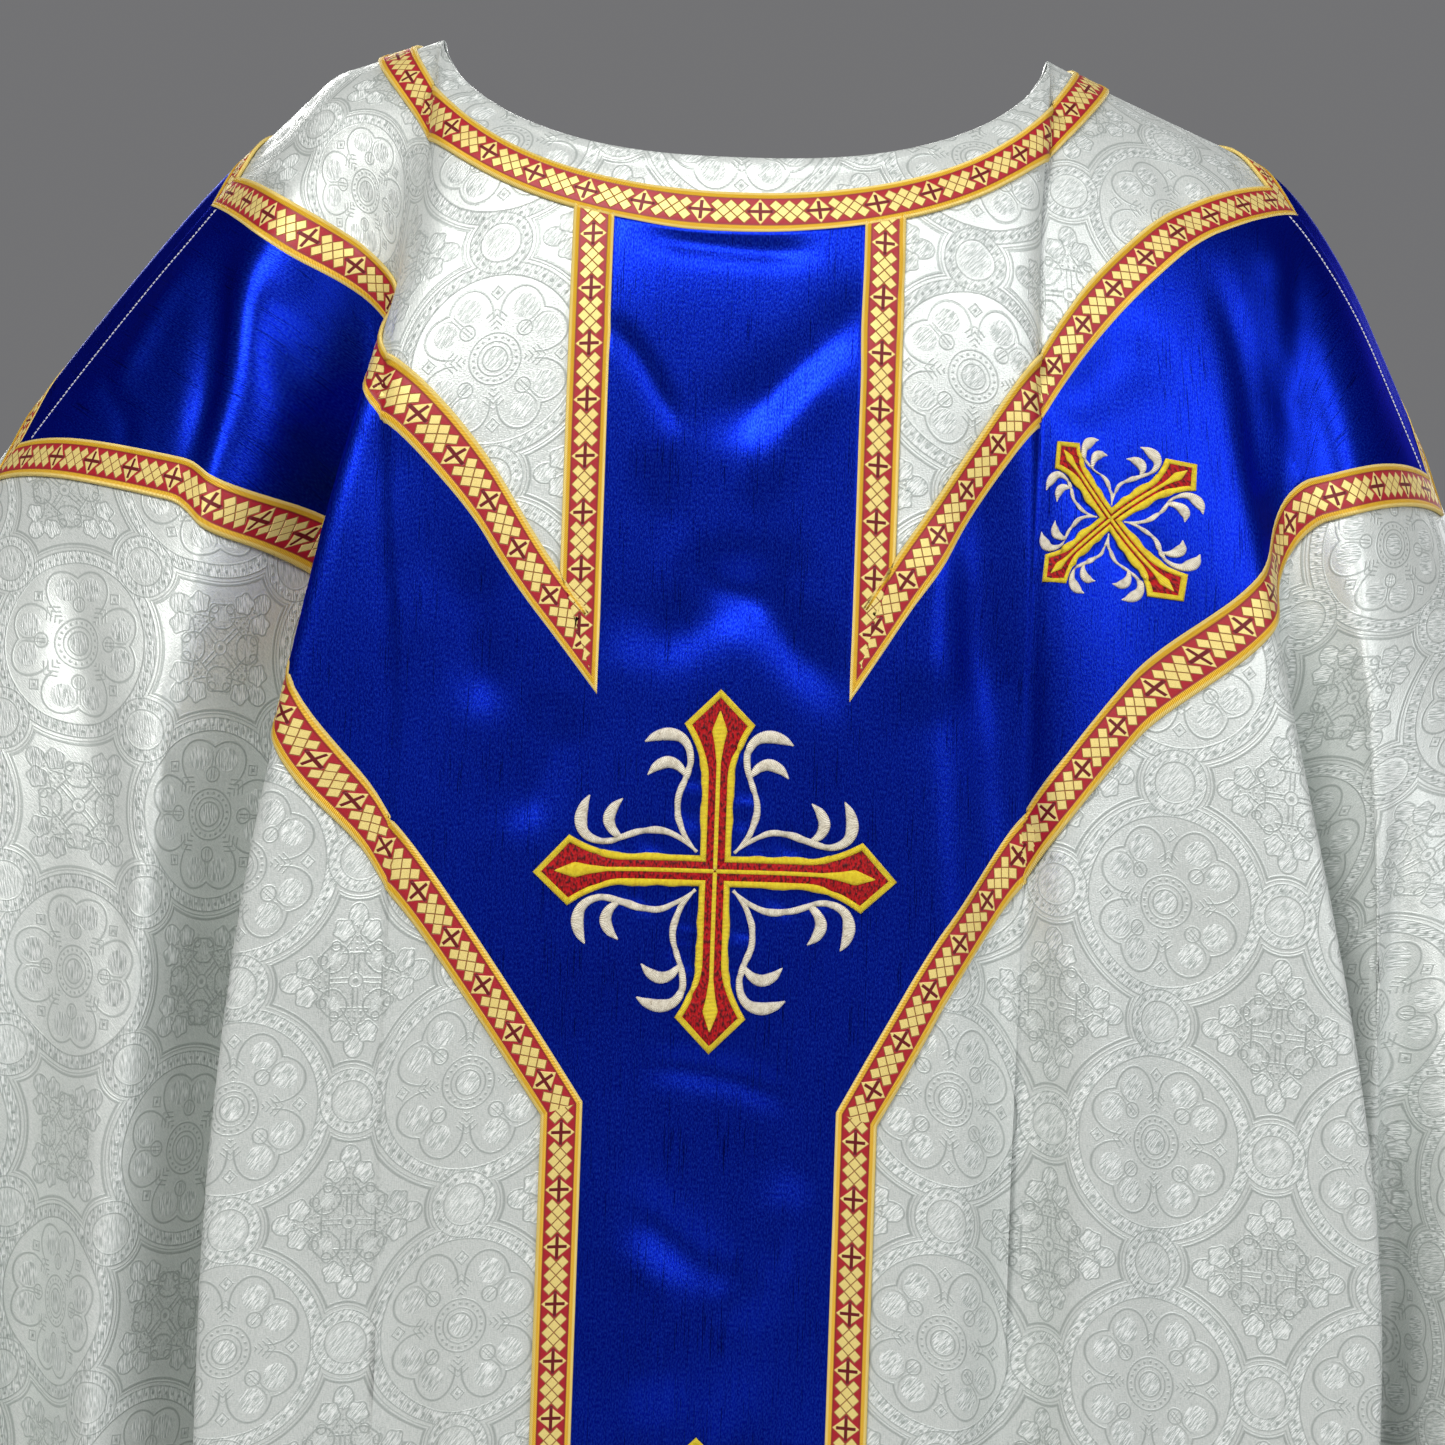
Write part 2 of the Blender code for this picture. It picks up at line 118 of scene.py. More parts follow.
# Depth of the hollow and slope of the cloth at its upper edge, across the garment
BODY = (
    # across, front reach, back reach, front slope, back slope, back rise
    (0.000, 0.118, 0.116, 62, 48, 0.000),
    (0.100, 0.116, 0.114, 30, 22, 0.000),
    (0.137, 0.112, 0.112, 13, -13, 0.000),
    (0.200, 0.103, 0.106, 24, -24, 0.008),
    (0.270, 0.088, 0.094, 42, -42, 0.014),
    (0.400, 0.078, 0.084, 46, -46, 0.014),
    (0.780, 0.066, 0.070, 48, -48, 0.014),
)
REACH_COLUMN = {"front": 1, "back": 2}
SLOPE_COLUMN = {"front": 3, "back": 4}
RISE_COLUMN = 5
BODY_BLUR = 0.022
NECK = {
    "front": {"cut": 0.115, "reach": 0.100, "drop": 0.066},
    "back": {"cut": 0.085, "reach": 0.074, "drop": 0.052},
}
SWING = {"front": 0.022, "back": 0.016}

# Distance down by which a fold has slanted to its lower place
SLANTED = 0.55
# Folds: across at the top and once slanted, half width, out from the body, lean to the
# cuff, and the distances down where each starts and is full
SLEEVE = (
    # top, low, wide, out, lean, start, full
    (0.360, 0.364, 0.044, -0.036, 0.000, 0.16, 0.55),
    (0.420, 0.424, 0.046, 0.022, 0.006, 0.14, 0.52),
    (0.480, 0.482, 0.044, -0.034, 0.000, 0.12, 0.48),
    (0.540, 0.542, 0.046, 0.024, 0.004, 0.10, 0.45),
    (0.600, 0.602, 0.044, -0.032, 0.000, 0.10, 0.40),
    (0.662, 0.662, 0.044, 0.018, 0.004, 0.08, 0.34),
    (0.722, 0.722, 0.040, -0.024, 0.000, 0.06, 0.28),
)
FOLDS = {
    ("front", -1): (
        # top, low, wide, out, lean, start, full
        (0.112, 0.135, 0.034, -0.007, 0.000, 0.36, 0.70),
        (0.118, 0.202, 0.042, 0.008, 0.013, 0.04, 0.26),
        (0.170, 0.264, 0.060, -0.060, -0.038, 0.01, 0.25),
        (0.290, 0.318, 0.056, 0.012, -0.012, 0.04, 0.30),
    ) + SLEEVE,
    ("front", 1): (
        # top, low, wide, out, lean, start, full
        (0.098, 0.138, 0.032, -0.014, 0.000, 0.10, 0.34),
        (0.165, 0.180, 0.036, 0.006, 0.000, 0.20, 0.50),
        (0.206, 0.262, 0.052, 0.008, 0.040, 0.08, 0.52),
        (0.256, 0.312, 0.050, -0.056, -0.014, 0.04, 0.38),
        (0.165, 0.165, 0.090, 0.000, -0.010, 0.00, 0.14),
    ) + SLEEVE,
    ("back", -1): (
        # top, low, wide, out, lean, start, full
        (0.060, 0.070, 0.040, 0.004, 0.000, 0.45, 0.90),
        (0.118, 0.128, 0.042, -0.014, 0.000, 0.24, 0.70),
        (0.178, 0.206, 0.046, 0.012, 0.018, 0.14, 0.46),
        (0.228, 0.262, 0.046, -0.050, -0.022, 0.12, 0.44),
    ) + SLEEVE,
    ("back", 1): (
        # top, low, wide, out, lean, start, full
        (0.050, 0.056, 0.036, -0.006, 0.000, 0.50, 0.90),
        (0.126, 0.142, 0.044, -0.012, 0.000, 0.20, 0.60),
        (0.190, 0.214, 0.046, 0.012, 0.020, 0.12, 0.50),
        (0.238, 0.276, 0.046, -0.052, -0.020, 0.12, 0.42),
    ) + SLEEVE,
}
# Number of the fold whose valley parts the chest from the sleeve
VALLEY = {("front", -1): 2, ("front", 1): 3, ("back", -1): 3, ("back", 1): 3}
# The sleeve's weave is turned about a pivot, at once in the folds and over some room above them
GRAIN_PIVOT = (0.184, -0.052)
SHALLOW = 0.14
TURN_ROOM = 0.034
# Shares of a short reach over which a bent line is softened
SOFTENED = (-1, -0.5, 0, 0.5, 1)


def smooth(low, high, value):
    """0 before low, 1 after high, with a soft turn at both."""
    t = np.clip((value - low) / (high - low), 0.0, 1.0)
    return t * t * (3 - 2 * t)


def body(column, at):
    """A column of BODY at distances across the garment, softened over a short reach."""
    places = [row[0] for row in BODY]
    values = [row[column] for row in BODY]
    return sum(np.interp(np.abs(at + BODY_BLUR * k), places, values) for k in SOFTENED) / len(SOFTENED)


def ridge_line(half):
    """Places of the shoulder seam at each millimetre out from the neck point."""
    step = 0.001
    runs = np.arange(0, RIDGE_REACH, step)
    places = [row[0] for row in RIDGE]
    slopes = np.radians(np.interp(runs, places, [row[1 if half < 0 else 2] for row in RIDGE]))
    xs = NECK_HALF + np.concatenate(([0], np.cumsum(np.cos(slopes[:-1]) * step)))
    zs = -np.concatenate(([0], np.cumsum(np.sin(slopes[:-1]) * step)))
    return runs, xs, zs


RIDGES = {half: ridge_line(half) for half in (-1, 1)}


def worn_seam(across):
    """Place across and height of the worn seam, at distances along it."""
    past = np.maximum(np.abs(across) - NECK_HALF, 0)
    return [np.where(across < 0, np.interp(past, RIDGES[-1][0], RIDGES[-1][part]),
                     np.interp(past, RIDGES[1][0], RIDGES[1][part])) for part in (1, 2)]


def neck_shape(size):
    """Share of the neck's full depth at a distance from the centre line."""
    return (1 - (np.minimum(size, NECK_HALF) / NECK_HALF) ** NECK_ROUND) ** NECK_LIFT


def cut_x(size):
    """Distance from the centre line on the flat cut."""
    return np.minimum(size, NECK_HALF) + np.maximum(size - NECK_HALF, 0) * cos(SEAM_FALL)


def across_of(x):
    """The other way: signed distance along the seam for a place on the cut."""
    size = np.abs(x)
    size = np.minimum(size, NECK_HALF) + np.maximum(size - NECK_HALF, 0) / cos(SEAM_FALL)
    return np.sign(x) * size


def cut_top(side, size):
    """Height of the upper edge on the flat cut."""
    neck = -NECK[side]["cut"] * neck_shape(size)
    return np.where(size < NECK_HALF, neck, -(size - NECK_HALF) * sin(SEAM_FALL))


def cut_hem(x):
    """Height of the rounded hem on the flat cut."""
    return -LENGTH * (1 - (np.abs(x) / HALF_WIDTH) ** HEM_ROUND) ** HEM_LIFT


def sine_integral(w):
    """Integral of sin w / w."""
    return w - w ** 3 / 18 + w ** 5 / 600 - w ** 7 / 35280 + w ** 9 / 3265920 - w ** 11 / 439084800


def cosine_integral(w):
    """Integral of (cos w - 1) / w."""
    return -w ** 2 / 4 + w ** 4 / 96 - w ** 6 / 4320 + w ** 8 / 322560 - w ** 10 / 36288000


def slanted(top, low, down):
    """Where a fold lies across, a distance down the cloth."""
    return top + (low - top) * smooth(0, SLANTED, down)


def fall(side, across, down):
    """Worn points of the cloth before its small creases."""
    across, down = np.broadcast_arrays(np.asarray(across, float), np.asarray(down, float))
    size = np.abs(across)
    left = across < 0
    x_seam, z_seam = worn_seam(across)
    on_neck = size < NECK_HALF
    x = np.where(on_neck, size, x_seam)
    z = np.where(on_neck, -NECK[side]["drop"] * neck_shape(size), z_seam)
    share = np.minimum(size / NECK_HALF, 1)
    out = NECK[side]["reach"] * np.sqrt(1 - share * share) + SEAM_GAP
    reach = body(REACH_COLUMN[side], size) - out
    slope = np.radians(body(SLOPE_COLUMN[side], size))
    rise = body(RISE_COLUMN, size) if side == "back" else np.zeros_like(size)
    turn = pi / 2 - slope
    radius = (reach - rise * np.cos(slope)) / sine_integral(turn)
    straight = np.minimum(down, rise)
    curved = np.maximum(down - rise, 0)
    wave = turn * np.exp(-curved / radius)
    outs = out + np.cos(slope) * straight + radius * (sine_integral(turn) - sine_integral(wave))
    drops = np.sin(slope) * straight + curved + radius * (cosine_integral(turn) - cosine_integral(wave))
    outs = outs + SWING[side] * np.maximum(drops, 0)
    for half in (-1, 1):
        own = left if half < 0 else ~left
        for top, low, wide, push, lean, start, full in FOLDS[side, half]:
            offset = (size - slanted(top, low, down)) / wide
            bump = np.where(np.abs(offset) < 1, 0.5 + 0.5 * np.cos(pi * offset), 0.0)
            bump = bump * smooth(start, full, down) * own
            outs = outs + push * bump
            x = x + lean * bump
    return np.stack((np.where(left, -x, x), AWAY[side] * outs, z - drops), axis=-1)


def thread_top(side, across):
    """Height on the weave of the upper edge, which falls with the worn seam beyond the neck."""
    size = np.abs(across)
    return np.where(size < NECK_HALF, -NECK[side]["cut"] * neck_shape(size), worn_seam(across)[1])


# Grid on which the width of the worn cloth is measured along its level threads
WIDTH_STEP = 0.002
LEVEL_STEP = 0.005
LOWEST_LEVEL = -1.45
HIGHEST_LEVEL = 0.02


def cloth_width(side, half):
    """Width of worn cloth out to each place along the seam, along each level thread."""
    size = np.arange(0, SIDE_ACROSS + 2 * WIDTH_STEP, WIDTH_STEP)[:, None]
    level = np.arange(LOWEST_LEVEL, HIGHEST_LEVEL, LEVEL_STEP)[None, :]
    down = thread_top(side, half * size) - level
    points = fall(side, half * size, np.maximum(down, 0))
    steps = np.diff(points, axis=0)
    lengths = np.where(down[1:] > 0, np.linalg.norm(steps, axis=-1), np.abs(steps[..., 0]))
    return np.concatenate((np.zeros((1, lengths.shape[1])), np.cumsum(lengths, axis=0)))


WIDTHS = {(side, half): cloth_width(side, half) for side in ("front", "back") for half in (-1, 1)}


def weave(side, across, down):
    """Places on the weave, along its level threads and up its strands."""
    level = thread_top(side, across) - down
    wide = np.zeros(level.shape)
    for half in (-1, 1):
        table = WIDTHS[side, half]
        column = np.clip(np.abs(across) / WIDTH_STEP, 0, table.shape[0] - 1.001)
        row = np.clip((level - LOWEST_LEVEL) / LEVEL_STEP, 0, table.shape[1] - 1.001)
        i, j = column.astype(int), row.astype(int)
        f, g = column - i, row - j
        lower = table[i, j] * (1 - f) + table[i + 1, j] * f
        upper = table[i, j + 1] * (1 - f) + table[i + 1, j + 1] * f
        wide = np.where((across < 0) == (half < 0), lower * (1 - g) + upper * g, wide)
    return np.sign(across) * wide, level


def unit(vectors):
    """Vectors brought to a length of 1."""
    return vectors / np.maximum(np.linalg.norm(vectors, axis=-1, keepdims=True), 1e-12)


def outward(side, across, down, shape):
    """Normals of a worn surface, away from the body."""
    step = 0.0004
    half = np.where(across < 0, -1, 1)
    inward = across - half * step
    along = (shape(side, across, down) - shape(side, inward, down)) * half[..., None]
    below = shape(side, across, down + step) - shape(side, across, down)
    return unit(np.cross(along, below)) * AWAY[side]


# Small creases: troughs and ridges on the cut, each from one end to the other with a bow, in
# millimetres
FRONT_CREASES = (
    # start across, start up, end across, end up, bow, wide, deep
    (-40, -153, 32, -158, -2, 5.5, -2.4),
    (-52, -190, -24, -235, 2, 4.5, -2.1),
    (54, -174, -8, -236, 4, 11, -3.6),
    (46, -204, 10, -262, -3, 10, 2.4),
    (-30, -250, -44, -330, 3, 12, -2.4),
    (30, -287, -36, -330, 0, 13, -2.8),
    (-12, -289, 48, -346, 4, 11, -3.4),
    (-136, -222, -123, -302, 4, 14, -1.8),
    (-106, -286, -98, -350, -3, 11, -2.8),
    (-69, -350, -86, -400, 3, 10, -2.8),
    (186, -160, 146, -206, 4, 13, -3.4),
    (110, -224, 114, -345, -6, 16, -3),
    (87, -270, 86, -345, 2, 14, 3.4),
    (212, -120, 228, -225, 6, 8, -2.6),
    (261, -91, 262, -190, -12, 16, -4.2),
    (240, -85, 246, -160, 0, 10, 2.6),
    (-250, -90, -252, -200, 6, 13, -4),
    (-231, -115, -216, -232, 4, 9, 2.4),
    (-214, -120, -207, -190, 2, 11, -2.6),
    (-267, -86, -310, -132, 0, 12, 2.6),
    (-322, -121, -294, -168, 2, 6, -1.8),
    (117, -133, 80, -178, 2, 7, -2.2),
    (96, -145, 68, -195, 2, 6, -2.4),
    (106, -140, 74, -186, 0, 4.5, 1.4),
    (72, -151, 68, -175, 1, 4, -1.4),
    (-129, -113, -110, -162, 2, 8, -2),
    (-206, -62, -184, -128, 3, 8, -3),
    (-176, -92, -184, -135, 2, 7, -3.4),
    (180, -60, 204, -100, 2, 8, -2),
    (-27, -575, -18, -645, 4, 13, 3),
    (36, -546, 10, -604, 3, 12, 3.2),
    (-36, -550, 24, -594, -4, 12, -3),
    (-30, -500, 36, -514, 4, 8, -2),
    (22, -630, -30, -730, 4, 14, -3.2),
    (-20, -760, 34, -870, 6, 14, -3.2),
    (30, -930, -30, -1040, 5, 15, -3.4),
    (-30, -1110, 20, -1210, 4, 13, -2.8),
    (148, -470, 152, -760, -4, 15, -3.6),
    (150, -700, 142, -1120, 6, 17, -5),
    (-140, -500, -111, -740, 4, 16, -3.2),
    (-116, -680, -126, -1150, -6, 17, -5),
    (-162, -420, -134, -600, 6, 16, 3.4),
    (187, -361, 209, -580, 4, 14, -3.6),
    (206, -640, 196, -980, -8, 16, 5),
    (-338, -200, -300, -430, 10, 12, -4),
    (-262, -290, -240, -520, 6, 10, -3.4),
    (-400, -260, -380, -600, 10, 14, -4.4),
    (-460, -330, -420, -640, -8, 12, -3.4),
    (283, -239, 318, -430, 6, 11, -3.6),
    (340, -290, 352, -540, -8, 12, -3.8),
    (420, -300, 404, -620, 10, 14, -4.4),
    (470, -360, 452, -660, 6, 12, -3.2),
)
BACK_CREASES = (
    # start across, start up, end across, end up, bow, wide, deep
    (-44, -132, 34, -136, 2, 5, -1.4),
    (50, -160, 6, -232, -3, 9, -3),
    (-48, -176, -14, -228, 3, 7, -2.4),
    (34, -270, -40, -316, 4, 12, -3),
    (-110, -210, -126, -310, 4, 12, -4),
    (128, -206, 108, -320, -5, 13, -4.6),
    (166, -170, 186, -236, 3, 9, -2.6),
    (-196, -140, -208, -224, 4, 9, -3),
    (-90, -128, -116, -176, 2, 6, -2.2),
    (94, -124, 112, -180, -2, 7, -2.2),
    (-168, -66, -190, -112, 2, 8, -2.2),
    (172, -62, 190, -116, 2, 8, -2.4),
    (-32, -420, 30, -452, 4, 11, -2.8),
    (28, -520, -26, -600, 5, 13, -3.2),
    (-24, -660, 32, -760, -4, 13, -3),
    (34, -850, -22, -960, 5, 15, -3.4),
    (-36, -1040, 16, -1160, 4, 14, -3),
    (-138, -500, -120, -790, 6, 16, -3.2),
    (-126, -740, -140, -1130, -6, 17, -4.6),
    (142, -480, 126, -740, -6, 16, -3.2),
    (132, -690, 150, -1140, 6, 17, -4.6),
    (196, -420, 206, -700, 6, 15, 4.4),
    (-200, -440, -188, -740, 6, 15, 4.4),
    (-320, -230, -306, -470, 8, 12, -4),
    (-400, -270, -376, -600, -8, 13, -4.4),
    (-462, -330, -440, -650, 6, 12, -3.4),
    (312, -220, 326, -480, 6, 12, -3.8),
    (388, -280, 366, -560, 8, 14, -4.4),
    (456, -320, 446, -640, -6, 12, -3.4),
)
# Dents that the stitching of a cross pulls into the satin beside its arms. They start at a
# distance from the arm's middle, each second one is shifted, and all slant a little
PUCKER_START = 0.006
PUCKER_SHIFT = 0.003
PUCKER_SLANT = 0.001
PUCKERS = (
    # from the centre, length, wide, deep, all in millimetres
    (21, 10, 3, -0.9),
    (29, 12, 2.8, -1.2),
    (38, 9, 3.2, -1),
    (47, 7, 2.8, -0.8),
)


def worn_steps(x, z, step=0.004):
    """Steps on the front's cut that make a step to the right and a step up on the worn cloth."""
    half = -1 if x < 0 else 1
    across = across_of(np.array((x, x + half * step, x)))
    down = cut_top("front", np.abs(across)) - np.array((z, z, z + step))
    here, beside, over = fall("front", across, down)
    aside, above = (beside - here) * half / step, (over - here) / step
    normal = unit(np.cross(aside, above))
    right = unit(np.array((1.0, 0, 0)) - normal * normal[0])
    wanted = np.stack((right, np.cross(normal, right)), axis=1)
    return np.linalg.pinv(np.stack((aside, above), axis=1)) @ wanted


def cross_placing(across, height, scale, turn):
    """How a cross's own points lie on the front's cut, undistorted on the worn cloth."""
    angle = radians(turn)
    turned = np.array(((cos(angle), -sin(angle)), (sin(angle), cos(angle))))
    return {"side": "front", "at": (across, height), "steps": worn_steps(across, height) @ turned * scale,
            "scale": scale}


def quarter_turn(points, quarter):
    """Points turned about the origin by a number of quarters."""
    for _ in range(quarter % 4):
        points = np.stack((-points[..., 1], points[..., 0]), axis=-1)
    return points


def in_metres(rows):
    """Rows of a table that is given in millimetres."""
    return [tuple(value / 1000 for value in row) for row in rows]


def pucker_rows():
    """Creases beside the arms of every cross, in the columns of FRONT_CREASES."""
    rows = []
    for _, *place in CROSSES:
        placing = cross_placing(*place)
        grow = placing["scale"] ** 0.5
        for quarter in range(4):
            for side in (-1, 1):
                for k, (out, length, wide, deep) in enumerate(in_metres(PUCKERS)):
                    out += PUCKER_SHIFT * ((quarter + k) % 2) * side
                    ends = np.array(((side * PUCKER_START, out),
                                     (side * (PUCKER_START + length), out + PUCKER_SLANT * side)))
                    ends = quarter_turn(ends, quarter) @ placing["steps"].T + np.array(placing["at"])
                    rows.append((*ends[0], *ends[1], 0.0, wide * grow, deep * grow))
    return rows


CREASES = {"front": in_metres(FRONT_CREASES) + pucker_rows(), "back": in_metres(BACK_CREASES)}
# Shares of a crease's length over which it fades in at each end
CREASE_FADE = (-0.12, 0.28)


def crease_height(side, across, down):
    """How far the small creases stand out from the cloth."""
    size = np.abs(across)
    x = np.sign(across) * cut_x(size)
    z = cut_top(side, size) - down
    x, z = (part.copy() for part in np.broadcast_arrays(x, z))
    shape = x.shape
    x, z = x.ravel(), z.ravel()
    height = np.zeros(x.size)
    for x0, z0, x1, z1, bow, wide, deep in CREASES[side]:
        run_x, run_z = x1 - x0, z1 - z0
        length = (run_x ** 2 + run_z ** 2) ** 0.5
        # Beyond this room the crease has faded
        room = length * 0.2 + 3 * wide + abs(bow)
        near = np.flatnonzero((x > min(x0, x1) - room) & (x < max(x0, x1) + room)
                              & (z > min(z0, z1) - room) & (z < max(z0, z1) + room))
        far_x, far_z = x[near] - x0, z[near] - z0
        along = (far_x * run_x + far_z * run_z) / length ** 2
        aside = (far_z * run_x - far_x * run_z) / length - bow * 4 * along * (1 - along)
        ends = smooth(*CREASE_FADE, along) * smooth(*CREASE_FADE, 1 - along)
        height[near] += deep * ends * np.exp(-(aside / wide) ** 2)
    return height.reshape(shape)


def creased(side, across, down):
    """Worn points of the cloth with its small creases."""
    points = fall(side, across, down)
    return points + outward(side, across, down, fall) * crease_height(side, across, down)[..., None]


def drape(side, x, z):
    """Worn places and outward normals for places on the flat cut."""
    across = across_of(np.asarray(x, float))
    down = np.maximum(cut_top(side, np.abs(across)) - z, 0)
    return creased(side, across, down), outward(side, across, down, creased)


def valley_across(side, half, down):
    """Where the valley between chest and sleeve lies, a distance down the cloth."""
    top, low = FOLDS[side, half][VALLEY[side, half]][:2]
    return slanted(top, low, down)


def sleeve_share(side, across, down):
    """Share of the sleeve's turn at each corner of each face: all or none in the deep folds."""
    size = np.abs(across)
    valley = np.where(across < 0, valley_across(side, -1, down), valley_across(side, 1, down))
    whole = (size.mean(axis=1) > valley.mean(axis=1))[:, None]
    shallow = (down.mean(axis=1) < SHALLOW)[:, None]
    return np.where(shallow, smooth(-TURN_ROOM, TURN_ROOM, size - valley), whole)


def grain(side, across, down):
    """Places on the weave for the corners of faces. It is turned on the sleeves, about a pivot."""
    u, v = weave(side, across, down)
    turned = sleeve_share(side, across, down) * np.where(across < 0, SLEEVE_GRAIN, -SLEEVE_GRAIN)
    pivot = np.where(across < 0, -GRAIN_PIVOT[0], GRAIN_PIVOT[0])
    u, v = u - pivot, v - GRAIN_PIVOT[1]
    right, up = np.cos(turned), np.sin(turned)
    return np.stack((pivot + u * right + v * up, GRAIN_PIVOT[1] - u * up + v * right), axis=-1)


def make_object(name, verts, faces, material, corners, edges=None):
    """A smooth mesh object, which rides on the one body. Its uvs have a pair for each corner."""
    mesh = bpy.data.meshes.new(name)
    mesh.from_pydata(verts.tolist(), [], faces)
    for title, uv in (("cut", corners), ("edge", edges)):
        if uv is not None:
            layer = mesh.uv_layers.new(name=title)
            layer.data.foreach_set("uv", np.asarray(uv, dtype=np.float32).ravel())
    mesh.materials.append(material)
    mesh.shade_smooth()
    mesh.validate()
    obj = bpy.data.objects.new(name, mesh)
    bpy.context.scene.collection.objects.link(obj)
    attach(obj, "root")
    return obj


def shell(name, points, normals, quads, uv, lift, wall, material, edges=None):
    """A closed thin wall on a sheet of quads that face outward. uv has a pair for each corner."""
    count = len(points)
    lift, wall = (np.broadcast_to(size, count)[:, None] for size in (lift, wall))
    verts = np.concatenate((points + normals * lift, points + normals * (lift - wall)))
    quads = np.asarray(quads)
    inner = quads[:, ::-1] + count
    starts, ends = quads.ravel(), np.roll(quads, -1, axis=1).ravel()
    known = set(zip(starts.tolist(), ends.tolist()))
    rims, rim_picks = [], []
    for index, (a, b) in enumerate(zip(starts.tolist(), ends.tolist())):
        if (b, a) not in known:
            rims.append((b, a, a + count, b + count))
            after = index // 4 * 4 + (index + 1) % 4
            rim_picks += [after, index, index, after]
    faces = quads.tolist() + inner.tolist() + rims
    picks = np.arange(quads.size).reshape(-1, 4)
    order = np.concatenate((picks.ravel(), picks[:, ::-1].ravel(), np.array(rim_picks, dtype=int)))
    if edges is not None:
        edges = edges.reshape(-1, 2)[order]
    return make_object(name, verts, faces, material, uv.reshape(-1, 2)[order], edges)


def grid_quads(columns, rows, flip):
    """Corner numbers of a grid's quads, column by column."""
    i, j = np.meshgrid(np.arange(columns - 1), np.arange(rows - 1), indexing="ij")
    first = (i * rows + j).ravel()
    quads = np.stack((first, first + 1, first + rows + 1, first + rows), axis=1)
    return quads[:, ::-1] if flip else quads


# Columns of the panel's mesh on one half: over the neck, and then from, to and how many
NECK_COLUMNS = 42
SIDE_COLUMNS = ((NECK_HALF, 0.20, 16), (0.20, 0.34, 44), (0.34, 0.50, 28), (0.50, SIDE_ACROSS, 34))
# Rows of the panel's mesh, with those close to its upper edge and to its hem
PANEL_ROWS = 146
RIM_ROWS = np.array((0, 0.0007, 0.0018, 0.0034, 0.0050, 0.0063, 0.0075))
HEM_ROWS = np.array((0.026, 0.0215, 0.0195, 0.010, 0.0012, 0))
ROW_SPREAD = 1.2
# Roll of the neck edge and fold of the hem, down from the one and up from the other
RIM_PUFF = 0.0010
RIM_MIDDLE = 0.0034
RIM_HALF = 0.0040
RIM_END = 0.97
HEM_PUFF = 0.0006
HEM_FOLD = (0.0185, 0.0205)
# How much deeper the panel lies under the orphrey, and the margins over which it sinks
UNDER = 0.0008
UNDER_COLUMN = (0.002, 0.006)
UNDER_NECK = (0.010, 0.016)
UNDER_ARM = (0.003, 0.008)
UNDER_SEAM = (0.001, 0.004)


def panel_stations():
    """Distances from the centre line of the columns of one half."""
    neck = NECK_HALF * np.sin(np.linspace(0, pi / 2, NECK_COLUMNS))
    return np.concatenate([neck] + [np.linspace(a, b, steps + 1)[1:] for a, b, steps in SIDE_COLUMNS])


def under_orphrey(side, across, down):
    """1 where the orphrey covers the panel, softly 0 from a few millimetres inside its edge."""
    size = np.abs(cut_x(np.abs(across)))
    z = cut_top(side, np.abs(across)) - down
    column = smooth(*UNDER_COLUMN, COLUMN_HALF - size) * smooth(*UNDER_NECK, down - NECK_BRAID_IN)
    arm = np.zeros(size.shape)
    for half in (-1, 1):
        over = z - outer_line(half, size, 0)
        below = inner_line(half, size, BRAID) - z
        inside = smooth(*UNDER_ARM, over) * smooth(*UNDER_ARM, below)
        arm = np.where((across < 0) == (half < 0), inside, arm)
    arm = arm * (size > COLUMN_HALF - 0.004) * smooth(*UNDER_SEAM, down)
    return np.maximum(column, arm)


def make_panel(side, material):
    """Front or back panel of damask, with a rolled neck edge and a turned-up hem."""
    marks = panel_stations()
    across = np.concatenate((-marks[:0:-1], marks))
    size = np.abs(across)
    length = cut_top(side, size) - cut_hem(cut_x(size))
    between = PANEL_ROWS - len(RIM_ROWS) - len(HEM_ROWS)
    share = (np.arange(1, between + 1) / (between + 1)) ** ROW_SPREAD
    inner_length = length - RIM_ROWS[-1] - HEM_ROWS[0]
    down = np.concatenate((np.broadcast_to(RIM_ROWS, (len(size), len(RIM_ROWS))),
                           RIM_ROWS[-1] + inner_length[:, None] * share,
                           length[:, None] - HEM_ROWS), axis=1)
    spread = np.broadcast_to(across[:, None], down.shape)
    points = creased(side, spread, down).reshape(-1, 3)
    normals = outward(side, spread, down, creased).reshape(-1, 3)
    quads = grid_quads(len(across), PANEL_ROWS, side == "back")
    uv = grain(side, spread.ravel()[quads], down.ravel()[quads])
    hem_x = np.sign(across) * cut_x(size)
    hem_slope = np.gradient(cut_hem(hem_x), hem_x)
    hem_run = np.concatenate(([0], np.cumsum(np.hypot(np.diff(hem_x), np.diff(cut_hem(hem_x))))))
    from_hem = (length[:, None] - down) / np.sqrt(1 + hem_slope ** 2)[:, None]
    edges = np.stack((np.broadcast_to(hem_run[:, None], down.shape), from_hem), axis=-1).reshape(-1, 2)
    on_neck = 1 - smooth(RIM_END * NECK_HALF, NECK_HALF, np.abs(spread))
    puff = RIM_PUFF * on_neck * np.sqrt(np.maximum(1 - ((down - RIM_MIDDLE) / RIM_HALF) ** 2, 0))
    turned = HEM_PUFF * (1 - smooth(*HEM_FOLD, from_hem))
    deep = UNDER * under_orphrey(side, spread, down)
    lift = (puff + turned - deep).ravel()
    wall = (PANEL_WALL + 2 * puff + turned - deep / 2).ravel()
    panel = shell(side + "_cloth", points, normals, quads, uv, lift, wall, material,
                  edges[quads])
    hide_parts(side + "_panel")
    area = float(np.sum(np.abs(np.diff(cut_x(size) * np.sign(across))) * (length[1:] + length[:-1]) / 2))


